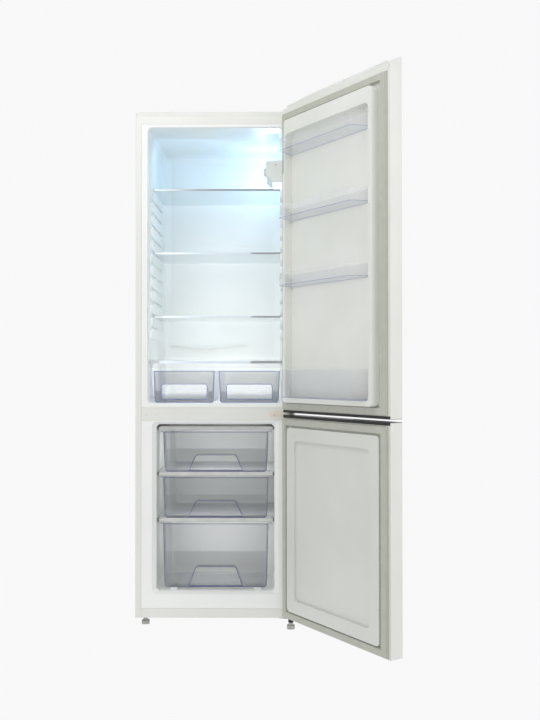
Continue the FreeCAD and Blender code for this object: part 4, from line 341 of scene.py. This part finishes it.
# %% [markdown]
# ## Giving every piece its finish
# The record names one material slot for each piece, and the slots are matched here with the
# finishes above. The clear pieces get the finish with their own edge.

# %% Assign finishes
slot_finish = {
    "white_enamel": enamel, "white_moulding": moulding, "white_liner": liner, "insulating_foam": foam,
    "galvanised_sheet": zinc, "shelf_glass": glass, "bright_trim": chrome, "clear_plastic": crisper_plastic,
    "cold_plate": cold_plate, "lamp_cover": lens, "black_moulding": black, "grey_seal": seal,
    "bearing_plastic": bearing, "beige_enamel": hinge_enamel, "dark_enamel": dark_enamel,
    "foot_plastic": foot, "zinc_screw": screw_steel, "mount_rubber": rubber, "copper_pipe": copper}
own_finish = {"crisper_left": crisper_plastic, "crisper_right": crisper_plastic,
              "freezer_drawer_high": drawer_plastic, "freezer_drawer_middle": drawer_plastic,
              "freezer_drawer_low": drawer_plastic, "lower_door_liner": dimpled,
              "upper_door_liner": shaded_door_panel, "freezer_bars": milky, **door_shelf_plastic}
for name, piece in nodes.items():
    for index, held in enumerate(piece.material_slots):
        slot = held.material.name.split(".")[0] if held.material else ""
        wanted = own_finish.get(name) or slot_finish.get(slot)
        if wanted:
            piece.material_slots[index].material = wanted
        else:
            print("no finish for", name, slot)
print("pieces looked at for a finish:", len(nodes))

# %% [markdown]
# ## Small pieces modelled by hand
# A few round pieces are drawn with flat sides in the CAD model to keep it light, and are modelled
# again here as smooth ones. Each starts as a primitive at its size and place. Faces and edges are
# then picked by where they are, as a hand would pick them in edit mode. Pieces that repeat are
# copied with `repeat`, and `settle` leaves the finished piece at the origin with its finish and
# its body.

# %% Picking and settling
# A normal counts as along an axis from the first of these parts of it, and as square to it below
# the second.
mostly, hardly = 0.9, 0.1


def only(piece):
    """Selects one object and makes it active."""
    bpy.ops.object.select_all(action="DESELECT")
    piece.select_set(True)
    bpy.context.view_layer.objects.active = piece


def pick(kind, test):
    """In edit mode, selects the faces or edges whose middle and direction pass the test. The
    direction is a face's normal or the run from one end of an edge to the other."""
    bpy.ops.mesh.select_mode(type="FACE" if kind == "faces" else "EDGE")
    bpy.ops.mesh.select_all(action="DESELECT")
    shape = bmesh.from_edit_mesh(bpy.context.object.data)
    for item in getattr(shape, kind):
        middle = sum((v.co for v in item.verts), Vector()) / len(item.verts)
        if test(middle, item.normal if kind == "faces" else item.verts[1].co - item.verts[0].co):
            item.select_set(True)
    bmesh.update_edit_mesh(bpy.context.object.data)


def join(pieces):
    """Joins pieces into the first of them."""
    only(pieces[0])
    for piece in pieces:
        piece.select_set(True)
    bpy.ops.object.join()
    return pieces[0]


def repeat(model, places):
    """Copies a model with its own mesh to each place, deletes the model and joins the copies."""
    copies = []
    for place in places:
        copied = model.copy()
        copied.data = model.data.copy()
        bpy.context.scene.collection.objects.link(copied)
        copied.matrix_world = place
        copies.append(copied)
    bpy.data.objects.remove(model, do_unlink=True)
    return join(copies)


def settle(piece, name, finish, slot, *replaced):
    """Applies the place, smooths the round faces and ties the piece to the cabinet."""
    only(piece)
    piece.name = piece.data.name = name
    bpy.ops.object.transform_apply(location=True, rotation=True, scale=True)
    bpy.ops.object.shade_smooth_by_angle()
    piece.data.materials.clear()
    piece.data.materials.append(finish)
    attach(piece, "cabinet")
    if replaced:
        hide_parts(*replaced)
    print(name, "has", len(piece.data.polygons), "faces")


print("helpers: only, pick, join, repeat, settle")

# %% [markdown]
# ## Screws
# The hinges are held by pan head screws with a cross recess. One head is turned from a cylinder
# with a rounded rim, the recess is cut by two crossing bars with a Boolean modifier, and the
# head is copied to each place and joined into one group. An eighth one closes the thermostat's
# housing.

# %% Screw heads
head_radius, head_height, rim_round = 0.0033, 0.0018, 0.0007
recess_bar = (0.0036, 0.0008, 0.0016)
bpy.ops.mesh.primitive_cylinder_add(vertices=24, radius=head_radius, depth=head_height,
                                    location=(0, 0, head_height / 2))
head = bpy.context.object
bpy.ops.object.transform_apply(location=True)
bpy.ops.object.mode_set(mode="EDIT")
pick("edges", lambda middle, run: middle.z > head_height * 0.99)
bpy.ops.mesh.bevel(offset=rim_round, segments=3)
bpy.ops.object.mode_set(mode="OBJECT")
for quarter in (0, math.pi / 2):
    bpy.ops.mesh.primitive_cube_add(size=1, location=(0, 0, head_height), rotation=(0, 0, quarter))
    bar = bpy.context.object
    bar.scale = recess_bar
    only(head)
    cut = head.modifiers.new("recess", "BOOLEAN")
    cut.operation, cut.object, cut.solver = "DIFFERENCE", bar, "EXACT"
    bpy.ops.object.modifier_apply(modifier=cut.name)
    bpy.data.objects.remove(bar, do_unlink=True)

up, down, forward = Matrix(), Matrix.Rotation(math.pi, 4, "X"), Matrix.Rotation(math.pi / 2, 4, "X")
# Heads face up on the top hinge, down under the lower one, and forward on the middle hinge's
# plate and the thermostat's housing.
top_plate_z, lower_plate_z, middle_plate_y, housing_front_y = 1.774, 0.022, 0.03, 0.143
screw_places = [((0, 0.1138, top_plate_z), up), ((-0.0342, 0.1138, top_plate_z), up),
                ((-0.018, 0.071, top_plate_z), up), ((-0.018, 0.0762, lower_plate_z), down),
                ((-0.0315, 0.06, lower_plate_z), down), ((-0.022, middle_plate_y, 0.7226), forward),
                ((-0.0556, middle_plate_y, 0.7226), forward), ((-0.051, housing_front_y, 1.612), forward)]
screws = repeat(head, [Matrix.Translation(place) @ turn for place, turn in screw_places])
settle(screws, "cross_recess_screws", screw_steel, "zinc_screw", "hinge_screws")

# %% [markdown]
# ## Levelling feet
# Each foot is a round moulded nut on a stud. A ring of shallow flutes gives the fingers that turn
# it a grip, so every second side face of the cylinder is inset and pushed in. The stud is the
# top face, inset and drawn up to the cabinet's floor.

# %% Feet
foot_radius, foot_tall, foot_sides, stud_margin = 0.0135, 0.012, 36, 0.0055
flute = 2 * math.pi / foot_sides
flute_edge, flute_depth = 0.0004, 0.0007
# Across, back and the top of the stud. The last foot stands under the hinge.
foot_places = ((-0.502, 0.058, 0.026), (-0.502, 0.483, 0.026), (-0.018, 0.483, 0.026), (0, 0, 0.022))
feet = []
for x, y, top in foot_places:
    bpy.ops.object.select_all(action="DESELECT")
    bpy.ops.mesh.primitive_cylinder_add(vertices=foot_sides, radius=foot_radius, depth=foot_tall,
                                        location=(x, y, foot_tall / 2))
    feet.append(bpy.context.object)
    bpy.ops.object.mode_set(mode="EDIT")
    pick("faces", lambda middle, normal: normal.z > mostly)
    bpy.ops.mesh.inset(thickness=stud_margin)
    bpy.ops.mesh.extrude_region_move(TRANSFORM_OT_translate={"value": (0, 0, top - foot_tall)})
    pick("faces", lambda middle, normal: abs(normal.z) < hardly and middle.xy.length > foot_radius * mostly
         and int(round(math.atan2(normal.y, normal.x) / flute - 0.5)) % 2 == 0)
    bpy.ops.mesh.inset(thickness=flute_edge, depth=-flute_depth, use_individual=True)
    bpy.ops.object.mode_set(mode="OBJECT")
settle(join(feet), "fluted_feet", foot, "foot_plastic", "levelling_feet", "hinge_foot")

# %% [markdown]
# ## Compressor
# A hermetic compressor is two drawn steel cups welded round the middle, enamelled black. The
# cups come from one cylinder with wide rounded rims. Two bisects mark the weld, and its faces
# are drawn out by a little over a millimetre. The base plate is a block with rounded corners,
# joined to the shell.

# %% Compressor shell
shell_radius, shell_low, shell_high, shell_round = 0.0712, 0.047, 0.2098, 0.034
shell_x, shell_y, shell_middle = -0.2, 0.423, (shell_low + shell_high) / 2
weld_half, weld_rise = 0.002, 0.0012
plate_size, plate_middle, plate_round = (0.19, 0.109, 0.003), 0.0465, 0.012
# An edge lies flat if it rises less than the first of these, and stands if it rises more than the
# second.
flat_run, upright_run = 0.001, 0.002
bpy.ops.object.select_all(action="DESELECT")
bpy.ops.mesh.primitive_cylinder_add(vertices=72, radius=shell_radius, depth=shell_high - shell_low,
                                    location=(shell_x, shell_y, shell_middle))
shell = bpy.context.object
bpy.ops.object.transform_apply(location=True)
bpy.ops.object.mode_set(mode="EDIT")
pick("edges", lambda middle, run: abs(run.z) < flat_run)
bpy.ops.mesh.bevel(offset=shell_round, segments=9)
for level in (shell_middle - weld_half, shell_middle + weld_half):
    bpy.ops.mesh.select_all(action="SELECT")
    bpy.ops.mesh.bisect(plane_co=(0, 0, level), plane_no=(0, 0, 1))
pick("faces", lambda middle, normal: abs(middle.z - shell_middle) < weld_half * 0.95)
bpy.ops.mesh.extrude_region_move(TRANSFORM_OT_translate={"value": (0, 0, 0)})
bpy.ops.transform.shrink_fatten(value=weld_rise)
bpy.ops.object.mode_set(mode="OBJECT")
bpy.ops.object.select_all(action="DESELECT")
bpy.ops.mesh.primitive_cube_add(size=1, location=(shell_x, shell_y, plate_middle),
                                scale=plate_size)
plate = bpy.context.object
bpy.ops.object.transform_apply(location=True, scale=True)
bpy.ops.object.mode_set(mode="EDIT")
pick("edges", lambda middle, run: abs(run.z) > upright_run)
bpy.ops.mesh.bevel(offset=plate_round, segments=5)
bpy.ops.object.mode_set(mode="OBJECT")
settle(join([shell, plate]), "compressor_shell", dark_enamel, "dark_enamel", "compressor")

# %% [markdown]
# ## The ring on the ceiling and the bars' dark ends
# A round cover sits in the ceiling of the fridge compartment. It has the lamp cover's finish, so it
# shines with a painted glow for the lamp's light on it. It is a disc whose underside is inset twice,
# so that a rim stands round a shallow dish. Each of the freezer's front bars ends in a small dark
# grey block, one bevelled block copied to six places.

# %% Ceiling cover
bpy.ops.object.select_all(action="DESELECT")
cover_radius, cover_depth, cover_place = 0.026, 0.003, (-0.064, 0.069, 1.714)
rim_width, dish_width, dish_depth, knob_depth = 0.003, 0.012, 0.0015, 0.001
bpy.ops.mesh.primitive_cylinder_add(vertices=48, radius=cover_radius, depth=cover_depth,
                                    location=cover_place)
cover_ring = bpy.context.object
bpy.ops.object.mode_set(mode="EDIT")
pick("faces", lambda middle, normal: normal.z < -mostly)
bpy.ops.mesh.inset(thickness=rim_width)
bpy.ops.mesh.extrude_region_move(TRANSFORM_OT_translate={"value": (0, 0, dish_depth)})
bpy.ops.mesh.inset(thickness=dish_width)
bpy.ops.mesh.extrude_region_move(TRANSFORM_OT_translate={"value": (0, 0, -knob_depth)})
bpy.ops.object.mode_set(mode="OBJECT")
# The ring takes the lamp cover's emissive finish: a painted glow, though it is no lamp.
settle(cover_ring, "ceiling_cover", lens, "lamp_cover")

# %% Dark bar ends
# Dark grey and dull: a small spot at each end of a bar.
bar_end_grey, tree, shader = new_finish("dark_grey_bar_end", "#606468", 0.4, **{"IOR": 1.53})
mottle(tree, shader, speckle(tree, 5), "#575b5f", "#6b6f73")
bpy.ops.object.select_all(action="DESELECT")
end_block_size, end_block_round, end_block_y = (0.005, 0.0135, 0.011), 0.0012, 0.069
bar_levels, bar_ends = (0.675, 0.516, 0.356), (-0.4605, -0.0595)
bpy.ops.mesh.primitive_cube_add(size=1, location=(0, 0, 0), scale=end_block_size)
end_block = bpy.context.object
bpy.ops.object.transform_apply(location=True, scale=True)
bpy.ops.object.mode_set(mode="EDIT")
bpy.ops.mesh.select_all(action="SELECT")
bpy.ops.mesh.bevel(offset=end_block_round, segments=3)
bpy.ops.object.mode_set(mode="OBJECT")
end_block_places = [(x, end_block_y, level) for level in bar_levels for x in bar_ends]
end_blocks = repeat(end_block, [Matrix.Translation(place) for place in end_block_places])
settle(end_blocks, "dark_bar_end_blocks", bar_end_grey, "black_moulding")

# %% [markdown]
# ## The studio
# The picture has a seamless, almost white ground with no horizon. A sheet of paper that runs
# from the floor up behind the object does that in a studio: here a plane whose back edge is
# extruded upwards and whose fold is bevelled. The picture's ground is as bright as its whitest
# spots and shows no shadow, so nearly all of the paper's brightness is its own.

# %% Seamless paper
bpy.ops.object.select_all(action="DESELECT")
bpy.ops.mesh.primitive_plane_add(size=1)
paper_width, paper_length, paper_rise, fold_radius = 14, 12, 7, 2.5
# Edges within the margin of the back or of the floor are the ones that are picked.
paper_x, margin = -0.25, 0.1
paper = bpy.context.object
paper.name = "seamless_paper"
paper.scale = (paper_width, paper_length, 1)
paper.location = (paper_x, 0, 0)
bpy.ops.object.transform_apply(location=True, scale=True)
bpy.ops.object.mode_set(mode="EDIT")
at_back = paper_length / 2 - margin
pick("edges", lambda middle, run: middle.y > at_back)
bpy.ops.mesh.extrude_region_move(TRANSFORM_OT_translate={"value": (0, 0, paper_rise)})
pick("edges", lambda middle, run: middle.y > at_back and middle.z < margin)
bpy.ops.mesh.bevel(offset=fold_radius, segments=24)
bpy.ops.object.mode_set(mode="OBJECT")
bpy.ops.object.shade_smooth_by_angle()
# Matt paper: it reflects almost none of the light here, so that no shadow shows on it.
paper_glow, paper_reflects = 0.935, 0.012
paper_white, tree, shader = new_finish("matt_white_paper", "#ffffff", 0.9, **{
    "Emission Color": linear("#ffffff"), "Emission Strength": paper_glow, "Specular IOR Level": 0.0})
shader.inputs["Base Color"].default_value = (paper_reflects, paper_reflects, paper_reflects, 1)
paper.data.materials.append(paper_white)
print("paper:", len(paper.data.polygons), "faces")

# %% [markdown]
# ## Light
# Three large soft lights stand above, in front and at the right of the object. Inside, a small
# blue-white lamp and a glow under the ceiling stand for the fridge's lamp. The fills stand for
# the light that bounces about in the real compartments, which a few bounces in the render don't
# reach. The camera sees none of these lights themselves.

# %% Lights
def soft_light(name, place, target, width, height, power, colour="#ffffff"):
    """A rectangular soft box that faces a point. Sizes are in metres and power in watts."""
    data = bpy.data.lights.new(name, "AREA")
    data.shape = "RECTANGLE"
    data.size, data.size_y = width, height
    data.energy = power
    data.color = linear(colour)[:3]
    light = bpy.data.objects.new(name, data)
    light.visible_camera = False
    bpy.context.scene.collection.objects.link(light)
    direction = Vector(target) - Vector(place)
    facing = direction.to_track_quat("-Z", "Y").to_matrix().to_4x4()
    light.matrix_world = Matrix.Translation(place) @ facing


soft_light("ceiling_box", (-0.5, -1.4, 3.1), (-0.2, 0, 1.1), 2.4, 1.6, 24)
soft_light("front_box", (-1.6, -3.6, 2.1), (-0.2, 0, 1.0), 1.6, 2.4, 16)
soft_light("right_box", (2.6, -1.8, 1.8), (0.1, -0.3, 1.1), 1.4, 2.0, 18)
soft_light("fridge_fill", (-0.30, 0.05, 1.15), (-0.30, 0.4, 1.12), 0.32, 0.60, 0.44, "#f1f7ff")
soft_light("crisper_fill", (-0.26, 0.13, 0.84), (-0.26, 0.4, 0.84), 0.40, 0.10, 0.55)
soft_light("freezer_fill", (-0.26, 0.11, 0.41), (-0.26, 0.4, 0.41), 0.34, 0.48, 0.62)
soft_light("freezer_top_fill", (-0.26, 0.12, 0.59), (-0.26, 0.4, 0.59), 0.34, 0.22, 0.34)
soft_light("ceiling_glow", (-0.34, 0.16, 1.69), (-0.36, 0.40, 1.45), 0.24, 0.12, 0.22, "#a6d6ff")
lamp_place, lamp_power, lamp_radius = (-0.105, 0.335, 1.625), 0.5, 0.025
lamp = bpy.data.lights.new("fridge_lamp", "POINT")
lamp.energy, lamp.color, lamp.shadow_soft_size = lamp_power, linear("#9fd2ff")[:3], lamp_radius
bulb = bpy.data.objects.new("fridge_lamp", lamp)
bulb.location = lamp_place
bulb.visible_camera = False
bpy.context.scene.collection.objects.link(bulb)

# %% [markdown]
# ## The ground all round
# The rest of the light comes evenly from all round. What is seen past the paper has the paper's
# own white, but it lights the object less than it shows, or the whites would burn out. A Light
# Path node tells the two apart: rays from the camera meet one background, and all others a
# weaker one. The picture is drawn with the Standard view, because its whites are plain screen
# whites.

# %% World and view
ground_white, even_strength = "#f9f9f9", 0.56
world = bpy.data.worlds.new("even_light")
world.use_nodes = True
even = world.node_tree.nodes["Background"]
even.inputs["Color"].default_value = linear(ground_white)
even.inputs["Strength"].default_value = even_strength
ground = add_node(world.node_tree, "ShaderNodeBackground", {"Color": linear(ground_white), "Strength": 1.0})
seen = add_node(world.node_tree, "ShaderNodeLightPath")
split = add_node(world.node_tree, "ShaderNodeMixShader",
                 links={0: seen.outputs["Is Camera Ray"], 1: even.outputs[0], 2: ground.outputs[0]})
world.node_tree.links.new(split.outputs[0], world.node_tree.nodes["World Output"].inputs["Surface"])
bpy.context.scene.world = world
bpy.context.scene.view_settings.view_transform = "Standard"
print("view:", bpy.context.scene.view_settings.view_transform)
